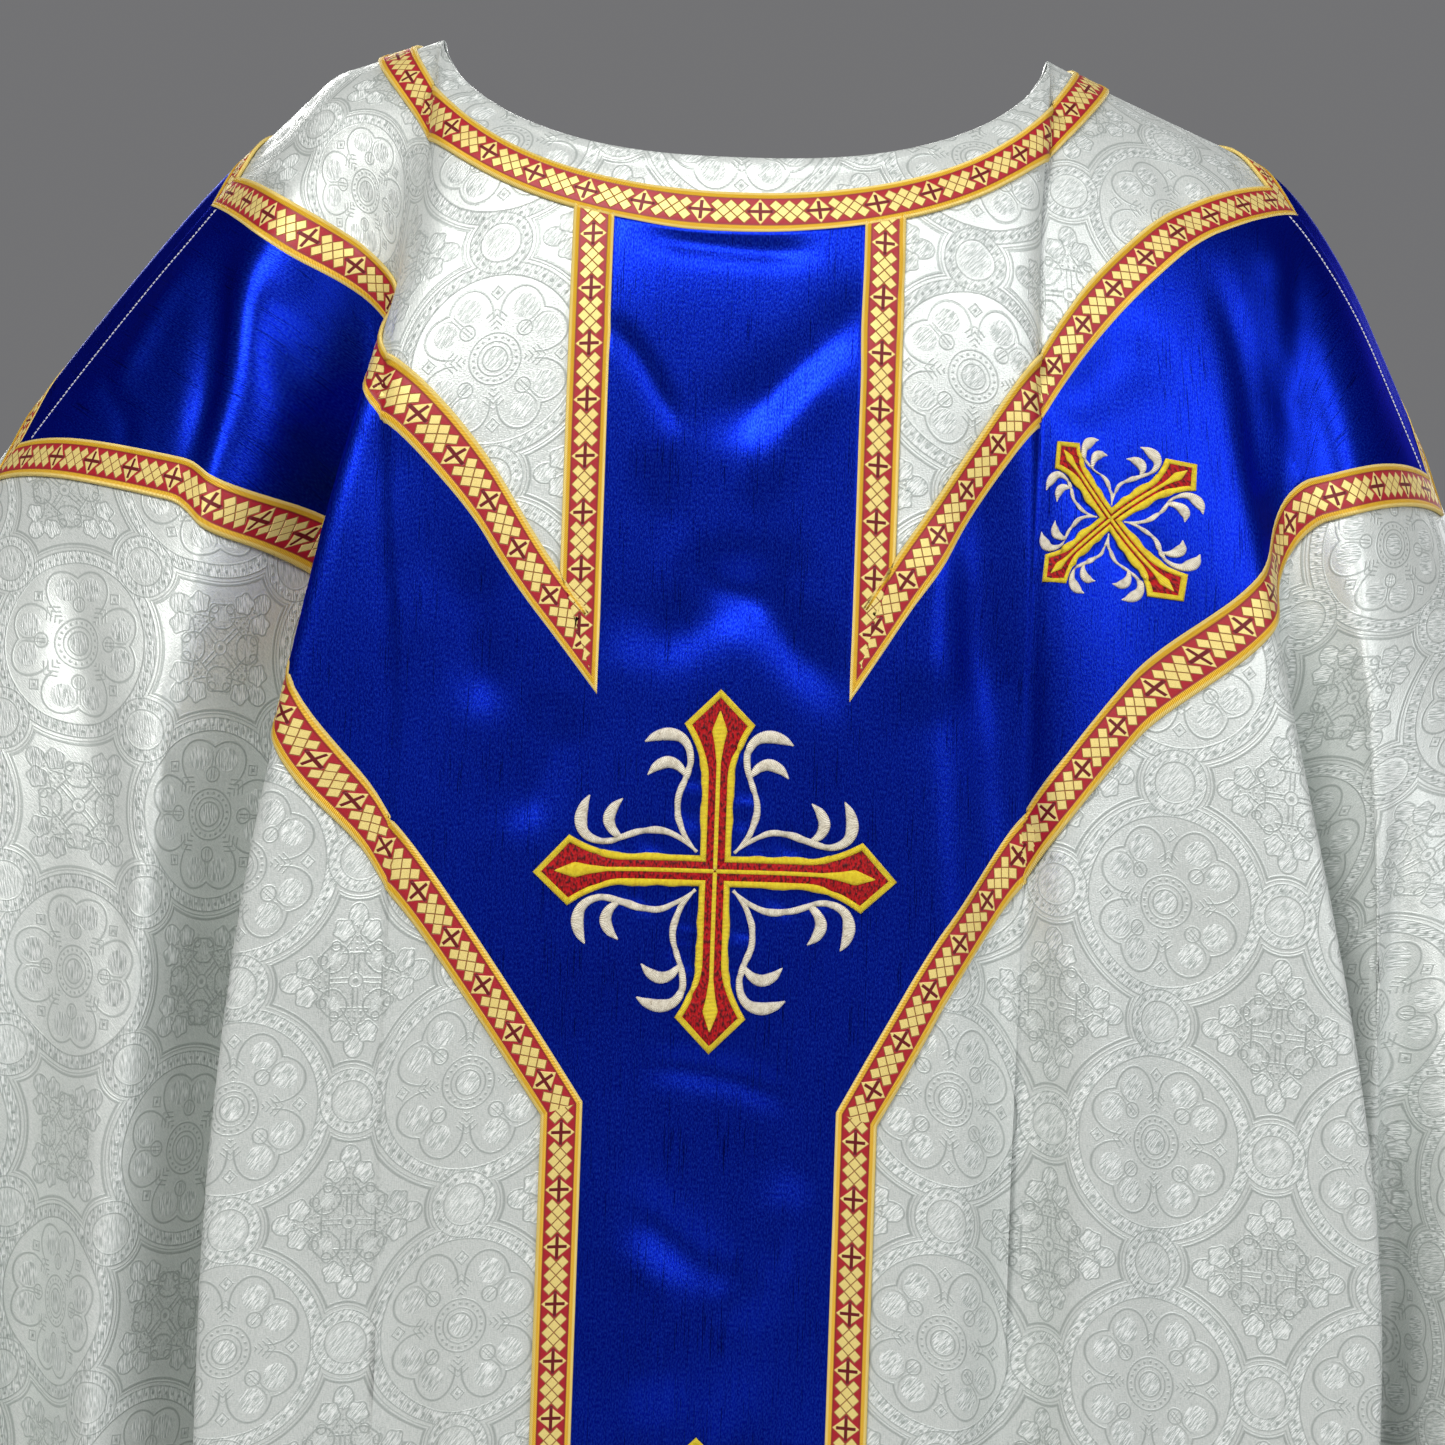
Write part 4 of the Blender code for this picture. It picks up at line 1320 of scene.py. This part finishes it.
class Look:
    """A material under construction, with its cut coordinates in millimetres."""

    def __init__(self, name):
        self.material = bpy.data.materials.new(name)
        self.material.use_nodes = True
        self.tree = self.material.node_tree
        self.shader = self.tree.nodes["Principled BSDF"]
        self.x, self.z, self.place = self.layer("cut")

    def add(self, kind):
        """A new node of a kind."""
        return self.tree.nodes.new(kind)

    def link(self, start, end):
        """Link a term or a socket to a socket."""
        self.tree.links.new(start.socket if isinstance(start, Term) else start, end)

    def layer(self, title):
        """The two coordinates of a uv layer in millimetres, and both as one socket."""
        uv = self.add("ShaderNodeUVMap")
        uv.uv_map = title
        scaled = self.add("ShaderNodeVectorMath")
        scaled.operation = "SCALE"
        scaled.inputs["Scale"].default_value = 1000
        self.link(uv.outputs[0], scaled.inputs[0])
        parts = self.add("ShaderNodeSeparateXYZ")
        self.link(scaled.outputs[0], parts.inputs[0])
        return Term(self.tree, parts.outputs[0]), Term(self.tree, parts.outputs[1]), scaled.outputs[0]

    def noise(self, across, along, detail=2.0, seed=0.0, turn=0.0):
        """Noise from 0 to 1 whose grains measure across by along, in millimetres, at a turn in degrees."""
        place = self.place
        if turn:
            rotate = self.add("ShaderNodeVectorRotate")
            rotate.rotation_type = "Z_AXIS"
            rotate.inputs["Angle"].default_value = radians(turn)
            self.link(place, rotate.inputs["Vector"])
            place = rotate.outputs[0]
        stretch = self.add("ShaderNodeVectorMath")
        stretch.operation = "MULTIPLY_ADD"
        stretch.inputs[1].default_value = (1 / across, 1 / along, 1)
        stretch.inputs[2].default_value = (seed, seed * 1.7, 0)
        self.link(place, stretch.inputs[0])
        node = self.add("ShaderNodeTexNoise")
        node.noise_dimensions = "2D"
        node.inputs["Scale"].default_value = 1.0
        node.inputs["Detail"].default_value = detail
        self.link(stretch.outputs[0], node.inputs["Vector"])
        return Term(self.tree, node.outputs[0])

    def mix(self, share, first, second):
        """A colour between two, which are colours or sockets."""
        node = self.add("ShaderNodeMix")
        node.data_type = "RGBA"
        self.link(share, node.inputs[0])
        for value, slot in ((first, node.inputs[6]), (second, node.inputs[7])):
            if isinstance(value, tuple):
                slot.default_value = (*value, 1)
            else:
                self.link(value, slot)
        return node.outputs[2]

    def bump(self, height, depth):
        """Bump from a height of 0 to 1, with its depth in millimetres."""
        node = self.add("ShaderNodeBump")
        node.inputs["Strength"].default_value = 1.0
        node.inputs["Distance"].default_value = depth / 1000
        self.link(height, node.inputs["Height"])
        self.link(node.outputs[0], self.shader.inputs["Normal"])

    def tangent(self):
        """Lay the gloss along the threads."""
        node = self.add("ShaderNodeTangent")
        node.direction_type = "UV_MAP"
        node.uv_map = "cut"
        self.link(node.outputs[0], self.shader.inputs["Tangent"])

    def set(self, **values):
        """Set the shader's sockets to values, or link them, and give the material."""
        for name, value in values.items():
            slot = self.shader.inputs[name.replace("_", " ").title().replace("Ior", "IOR")]
            if isinstance(value, (Term, bpy.types.NodeSocket)):
                self.link(value, slot)
            else:
                slot.default_value = (*value, 1) if isinstance(value, tuple) else value
        return self.material


def either(*masks):
    """The largest of several masks."""
    found = masks[0]
    for mask in masks[1:]:
        found = found.high(mask)
    return found


# Damask repeat, in millimetres
PITCH = 101.0
RING = 38.8
RING_BAND = 2.8
SMALL = 11.2
SMALL_BAND = 2.5
OUTLINE_AWAY = 3.2


def damask_rings(a, b, r, angle):
    """Lines and fills of the ring and the small circle, with beads along their bands."""
    s = away(a, b, PITCH / 2)
    turn = b.math("ARCTAN2", abs(a - PITCH / 2))
    off_small = 1 - (s - SMALL - SMALL_BAND).inside(0.2)
    ring_edge = abs(r - RING) - RING_BAND
    small_edge = abs(s - SMALL) - SMALL_BAND
    ring_bead = away(r - RING, (angle * RING).wrap(4.06))
    small_bead = away(s - SMALL, (turn * SMALL).wrap(3.9))
    # Two more lines run round both at once
    union = (r - RING - RING_BAND).low(s - SMALL - SMALL_BAND)
    lines = either(ring_edge.line(0.28) * off_small, small_edge.line(0.28),
                   (ring_bead - 0.75).inside() * off_small, (small_bead - 0.75).inside(),
                   (union - OUTLINE_AWAY).line(0.55), (union - OUTLINE_AWAY + 1.5).line(0.2))
    fills = either(ring_edge.inside() * off_small, small_edge.inside() * 0.9, (s - 7.4).inside(1.2) * 0.8)
    return lines, fills


def damask_rosette(a, b, r, angle):
    """Lines and fills of the boss, four heart-shaped petals on the diagonals and palmettes between."""
    lobe = away(a, b, 21.6, 12.0)
    petal = away((a - 18.4) * 0.8, b - 11.0)
    stem = away(a - 12.2, b - 12.2)
    palm = abs(a - 28.2) + b
    chevron = (a + b * 0.9).wrap(2.7)
    in_palm = ((a - 21.5) + abs(b) * 0.5).inside(0.4) * (b * 1.6 - (a - 10.5)).inside(0.5)
    in_palm = in_palm * (12.5 - a).inside()
    boss_bead = away(r - 9.2, (angle * 9.2).wrap(2.9))
    lines = either((r - 5.2).line(0.35), (r - 7.3).line(0.3), (r - 11.0).line(0.35),
                   (boss_bead - 0.6).inside(), (lobe - 6.3).line(0.35) * (a - b - 3.0).inside(4.0),
                   (petal - 9.6).line(0.4) * (17.0 - r).inside(), (stem - 3.2).line(0.35),
                   ((a - b) - 1.1).line(0.3) * (15.0 - r).inside() * (r - 27.0).inside(),
                   chevron.line(0.4) * in_palm, (palm - 2.9).line(0.35), (palm - 0.9).inside())
    fills = either((r - 4.6).inside(), (lobe - 5.2).inside(), (stem - 2.4).inside() * 0.6,
                   (palm - 2.4).inside() * 0.7)
    return lines, fills


def damask_sprig(m, n, q):
    """Lines and fills of four scalloped leaf clusters, hearts between them and a small flower."""
    leaf_turn = n.math("ARCTAN2", m - 23.5)
    leaf_a = away(m, n, 27.2) - (leaf_turn * 4.0).math("COSINE") * 0.45
    side_turn = (n - 5.9).math("ARCTAN2", m - 21.2)
    leaf_b = away(m, n, 21.2, 5.9) + (side_turn * 5.0).math("COSINE") * 0.45
    heart = away(m, n, 10.2, 8.6)
    curl = away(m, n, 14.6, 9.0)
    dots = away(m.wrap(2.6), n.wrap(2.6))
    base = ((m - 14.0) * 0.7 + n - 4.4).high(11.5 - m)
    flower = (n - 1.0).line(0.3) * (m - 11.5).inside() * (3.0 - q).inside()
    lines = either((leaf_a - 4.6).line(0.35) * (4.4 - leaf_b).inside(), (leaf_b - 4.4).line(0.35),
                   (heart - 5.2).line(0.4), (curl - 2.0).line(0.35), (dots - 0.5).inside() * base.inside(),
                   base.line(0.35) * (m - 19.0).inside(), (q - 3.0).line(0.3), (q - 1.2).inside(), flower)
    fills = either((leaf_a - 4.3).inside(), (leaf_b - 4.1).inside(), (heart - 2.2).inside() * 0.6)
    return lines, fills


def damask_look():
    """White damask: rings with rosettes, small circles between them and leaf sprigs in the gaps."""
    look = Look("white_damask")
    u, v = abs(look.x.wrap(PITCH)), abs(look.z.wrap(PITCH))
    a, b = u.high(v), u.low(v)
    r = away(a, b)
    angle = b.math("ARCTAN2", a)
    m, n = PITCH / 2 - b, PITCH / 2 - a
    m, n = m.high(n), m.low(n)
    q = away(m, n)
    parts = (damask_rings(a, b, r, angle), damask_rosette(a, b, r, angle), damask_sprig(m, n, q))
    lines = either(*(part[0] for part in parts))
    fills = either(*(part[1] for part in parts))
    # Threads: fine ribs in the ground, slanting floats in the figure
    threads = look.noise(1.2, 0.45, 1.0)
    weft = look.noise(0.45, 2.6, 1.0, 3.0)
    slant = look.noise(0.6, 4.5, 1.5, 13.0, 38.0)
    soil = look.noise(90, 140, 3.0, 7.0)
    hatch = ((threads * 0.5 + weft * 0.5 - 0.5) * 2.4 + 0.5).clip()
    floats = ((slant - 0.5) * 3.4 + 0.5).clip()
    scribble = (look.noise(2.0, 2.6, 1.5, 11.0) - 0.5).line(0.03, 0.02) * (1.0 - fills)
    gap = (q - 21.0).inside(3.0) * (3.4 - q).inside()
    ground = look.mix(hatch, srgb(200, 207, 203), srgb(232, 235, 232))
    ground = look.mix(soil * 0.35, ground, srgb(206, 210, 206))
    figure = look.mix(floats, srgb(168, 176, 172), srgb(240, 243, 241))
    cloth = look.mix(fills * 0.85, ground, figure)
    cloth = look.mix(scribble * gap * 0.7, cloth, srgb(160, 167, 163))
    thin = (lines * (hatch * 0.6 + 0.5)).low(1.0)
    cloth = look.mix(thin * 0.8, cloth, srgb(148, 156, 152))
    # Sewing of the turned-up hem, with painted shade: a grey line along the top of the turn-up and a
    # darker rim at the hem's lower edge
    run, from_hem, _ = look.layer("edge")
    dash = (abs(run.wrap(3.4)) - 1.15).inside(0.2) * (abs(from_hem - 18.0) - 0.35).inside(0.15)
    fold = (from_hem - 19.6).line(0.5, 0.4) + (from_hem - 0.8).inside(0.6) * 0.5
    cloth = look.mix(fold.low(1.0) * 0.3, cloth, srgb(150, 152, 148))
    cloth = look.mix(dash, cloth, srgb(244, 245, 246))
    look.bump(hatch * 0.35 + lines * 0.6 + fills * floats * 0.5 + dash * 0.8, 0.24)
    look.tangent()
    rough = (fills * 0.08 + thin * 0.10 + hatch * 0.10) + 0.34
    return look.set(Base_Color=cloth, Roughness=rough, Metallic=0.32, Anisotropic=0.7,
                    Anisotropic_Rotation=fills * 0.25, Sheen_Weight=0.05, Specular_IOR_Level=0.7)


def satin_look():
    """Blue shantung satin with slubs down the warp."""
    look = Look("blue_satin")
    slub = (0.66 - look.noise(0.6, 26, 2.0)).inside(0.03)
    slub = slub * (0.50 - look.noise(11, 60, 1.0, 5.0)).inside(0.06)
    streak = look.noise(1.1, 20, 2.0, 9.0)
    speck = look.noise(0.6, 1.3, 1.0, 2.0)
    broad = look.noise(60, 90, 2.0, 4.0)
    color = look.mix(streak, srgb(4, 17, 152), srgb(9, 38, 196))
    color = look.mix(((speck - 0.5) * 1.6 + 0.2).high(0.0), color, srgb(36, 78, 222))
    color = look.mix(broad * 0.4, color, srgb(3, 8, 92))
    color = look.mix(slub * 0.6, color, srgb(2, 3, 44))
    look.bump(streak * 0.35 + speck * 0.5 - slub * 0.4, 0.12)
    look.tangent()
    return look.set(Base_Color=color, Roughness=speck * 0.12 + 0.35, Metallic=0.96, Anisotropic=0.3,
                    Specular_Tint=(0.03, 0.08, 0.45), Specular_IOR_Level=0.2)


# Braid repeat, in millimetres
CROSS_PITCH = 23.7
LOZENGE = 5.5


def braid_look():
    """Woven galloon: cream lozenges and dark crosses on red between gold cords."""
    look = Look("woven_braid")
    s, t = look.x, abs(look.z)
    from_middle = abs(s.wrap(CROSS_PITCH))
    cross = CROSS_PITCH / 2 - from_middle
    pair = abs(s.wrap(CROSS_PITCH).wrap(LOZENGE)) / (LOZENGE / 2) + abs(t - 2.65) / 2.65
    centre = abs((s.wrap(CROSS_PITCH) - LOZENGE / 2).wrap(LOZENGE)) / (LOZENGE / 2) + t / 2.65
    lozenge = either((pair - 0.90).inside(0.06) * (from_middle - 8.0).inside(),
                     (centre - 0.90).inside(0.06) * (from_middle - 5.4).inside())
    petal = (cross / 4.6 + t / 5.6 - 1.0).inside(0.05)
    cream = either(lozenge, petal)
    plus = either((t - 0.70).inside(0.1) * (cross - 5.3).inside(0.15),
                  (cross - 0.70).inside(0.1) * (t - 4.1).inside(0.15))
    # Painted shade: a darker gold line in the dented groove round each raised lozenge
    shaded_groove = either((pair - 0.98).line(0.05, 0.05), (centre - 0.98).line(0.05, 0.05))
    shaded_groove = shaded_groove * (from_middle - 8.2).inside() * (t - 5.2).inside()
    cord = (6.0 - t).inside(0.2)
    pale_cord = (7.45 - t).inside(0.2)
    rib = (s + t * 0.8).wrap(0.75)
    twist_shading = abs(rib) / 0.375
    thread = look.noise(0.5, 0.25, 1.0)
    wear = look.noise(14, 9, 2.0, 6.0)
    red = look.mix(thread, srgb(132, 4, 22), srgb(186, 8, 34))
    # Painted shade: the red darkens towards its edges, in the dip beside the raised cords
    red = look.mix((5.4 - t).inside(0.5) * 0.55, red, srgb(96, 8, 22))
    gold = look.mix(thread * 0.8 + wear * 0.3, srgb(214, 184, 92), srgb(248, 230, 152))
    color = look.mix(cream, red, gold)
    color = look.mix(shaded_groove * 0.8, color, srgb(150, 118, 40))
    color = look.mix(plus, color, srgb(104, 2, 14))
    # Painted light and shade on the cords: bright on the crests of the twist, dark in the grooves between
    # its strands
    amber = look.mix(twist_shading, srgb(176, 116, 8), srgb(252, 206, 40))
    pale = look.mix(twist_shading, srgb(206, 160, 50), srgb(252, 236, 150))
    color = look.mix(cord, color, look.mix(pale_cord, amber, pale))
    height = cream * 0.7 - shaded_groove * 0.5 - plus * 0.35 + cord * twist_shading * 0.6 + thread * 0.25
    look.bump(height, 0.28)
    metal = either(cream * 0.30, cord * 0.25)
    return look.set(Base_Color=color, Roughness=thread * 0.25 + 0.36, Metallic=metal, Sheen_Weight=0.03)


def thread_look(name, dark, light, pitch):
    """Satin stitch: threads side by side across the row."""
    look = Look(name)
    thread = abs(look.x.wrap(pitch)) / (pitch / 2)
    uneven = look.noise(1.6, 1.2, 2.0)
    band = look.noise(2.6, 8.0, 2.0, 4.0)
    shade = thread * 0.40 + (uneven - 0.5) * 0.7 + (band - 0.5) * 0.7
    color = look.mix(shade.clip(), light, dark)
    look.bump(1 - thread + uneven * 0.5, 0.30)
    return look.set(Base_Color=color, Roughness=uneven * 0.2 + 0.30, Specular_IOR_Level=0.6)


def filling_look():
    """Rough red filling of short slanting stitches."""
    look = Look("red_thread")
    short = look.noise(1.0, 1.9, 1.5)
    shade = look.noise(2.4, 2.4, 2.0, 8.0)
    color = look.mix((short * 3.4 - 1.1).clip(), srgb(48, 0, 4), srgb(186, 4, 16))
    color = look.mix(shade * 0.4, color, srgb(120, 2, 12))
    look.bump(short * 0.8 + shade * 0.3, 0.6)
    return look.set(Base_Color=color, Roughness=short * 0.2 + 0.50, Specular_IOR_Level=0.25)


# Camera on the photograph's view: sideways field in degrees, place and tilt in degrees
CAMERA_FIELD = 24.7
CAMERA_PLACE = (0, -1.5, -0.3055)
CAMERA_TILT = -1.98
FLOOR = -1.42
WARM = (1.0, 0.99, 0.97)
COOL = (0.97, 0.98, 1.0)
LIGHTS = (
    # name, place, aimed at, size, watts, colour
    ("key", (-0.7, -1.8, 1.35), (0, 0, -0.3), 1.0, 54, WARM),
    ("fill", (1.5, -1.5, 0.8), (0, 0, -0.4), 1.4, 24, COOL),
    ("back", (-0.6, 2.5, 0.4), (0, 0, -0.6), 1.4, 52, WARM),
    ("back_fill", (1.3, 2.2, 0.1), (0, 0, -0.6), 1.4, 16, COOL),
)


def make_camera():
    """The camera, without depth of field."""
    data = bpy.data.cameras.new("camera")
    data.sensor_width = 36
    data.lens = data.sensor_width / 2 / tan(radians(CAMERA_FIELD / 2))
    data.clip_end = 100
    camera = bpy.data.objects.new("camera", data)
    camera.location = CAMERA_PLACE
    camera.rotation_euler = (radians(90), radians(CAMERA_TILT), 0)
    bpy.context.scene.collection.objects.link(camera)
    bpy.context.scene.camera = camera


def make_area_light(name, place, target, size, watts, color):
    """A soft square light, aimed at a place."""
    data = bpy.data.lights.new(name, "AREA")
    data.shape = "RECTANGLE"
    data.size = size
    data.size_y = size
    data.energy = watts
    data.color = color
    light = bpy.data.objects.new(name, data)
    light.location = place
    light.rotation_euler = (Vector(target) - Vector(place)).to_track_quat("-Z", "Y").to_euler()
    bpy.context.scene.collection.objects.link(light)


def make_floor():
    """Plain pale floor."""
    bpy.ops.mesh.primitive_circle_add(vertices=96, radius=6.0, fill_type="NGON", location=(0, 0, FLOOR))
    floor = bpy.context.object
    floor.name = "floor"
    material = bpy.data.materials.new("pale_floor")
    material.use_nodes = True
    shader = material.node_tree.nodes["Principled BSDF"]
    shader.inputs["Base Color"].default_value = (0.85, 0.85, 0.84, 1)
    shader.inputs["Roughness"].default_value = 0.9
    floor.data.materials.append(material)


def make_world():
    """A grey world for the eye, and a soft white one for the light."""
    world = bpy.data.worlds.new("studio")
    world.use_nodes = True
    tree = world.node_tree
    tree.nodes.clear()
    path = tree.nodes.new("ShaderNodeLightPath")
    mix = tree.nodes.new("ShaderNodeMixShader")
    output = tree.nodes.new("ShaderNodeOutputWorld")
    tree.links.new(path.outputs["Is Camera Ray"], mix.inputs["Fac"])
    for slot, color, strength in ((1, (1, 1, 1, 1), 0.18), (2, (0.17, 0.17, 0.175, 1), 1.0)):
        background = tree.nodes.new("ShaderNodeBackground")
        background.inputs["Color"].default_value = color
        background.inputs["Strength"].default_value = strength
        tree.links.new(background.outputs["Background"], mix.inputs[slot])
    tree.links.new(mix.outputs["Shader"], output.inputs["Surface"])
    bpy.context.scene.world = world


def main():
    """Dress the whole garment and set the stage."""
    make_camera()
    damask = damask_look()
    satin = satin_look()
    braid = braid_look()
    looks = {
        "filling": filling_look(),
        "gold": thread_look("gold_thread", srgb(206, 142, 6), srgb(255, 232, 52), 0.55),
        "tendrils": thread_look("silver_thread", srgb(158, 138, 104), srgb(250, 242, 222), 0.6),
    }
    white = thread_look("white_thread", srgb(200, 204, 210), srgb(250, 250, 250), 0.5)
    for side in ("front", "back"):
        make_panel(side, damask)
    for side in ("front", "back"):
        make_orphrey(side, satin)
        make_braids(side, braid)
    make_seam_stitches("front", white)
    make_neck_braid(braid)
    for cross in CROSSES:
        make_cross(*cross, looks)
    make_floor()
    make_world()
    for light in LIGHTS:
        make_area_light(*light)
    bpy.context.scene.view_settings.view_transform = "Standard"


main()
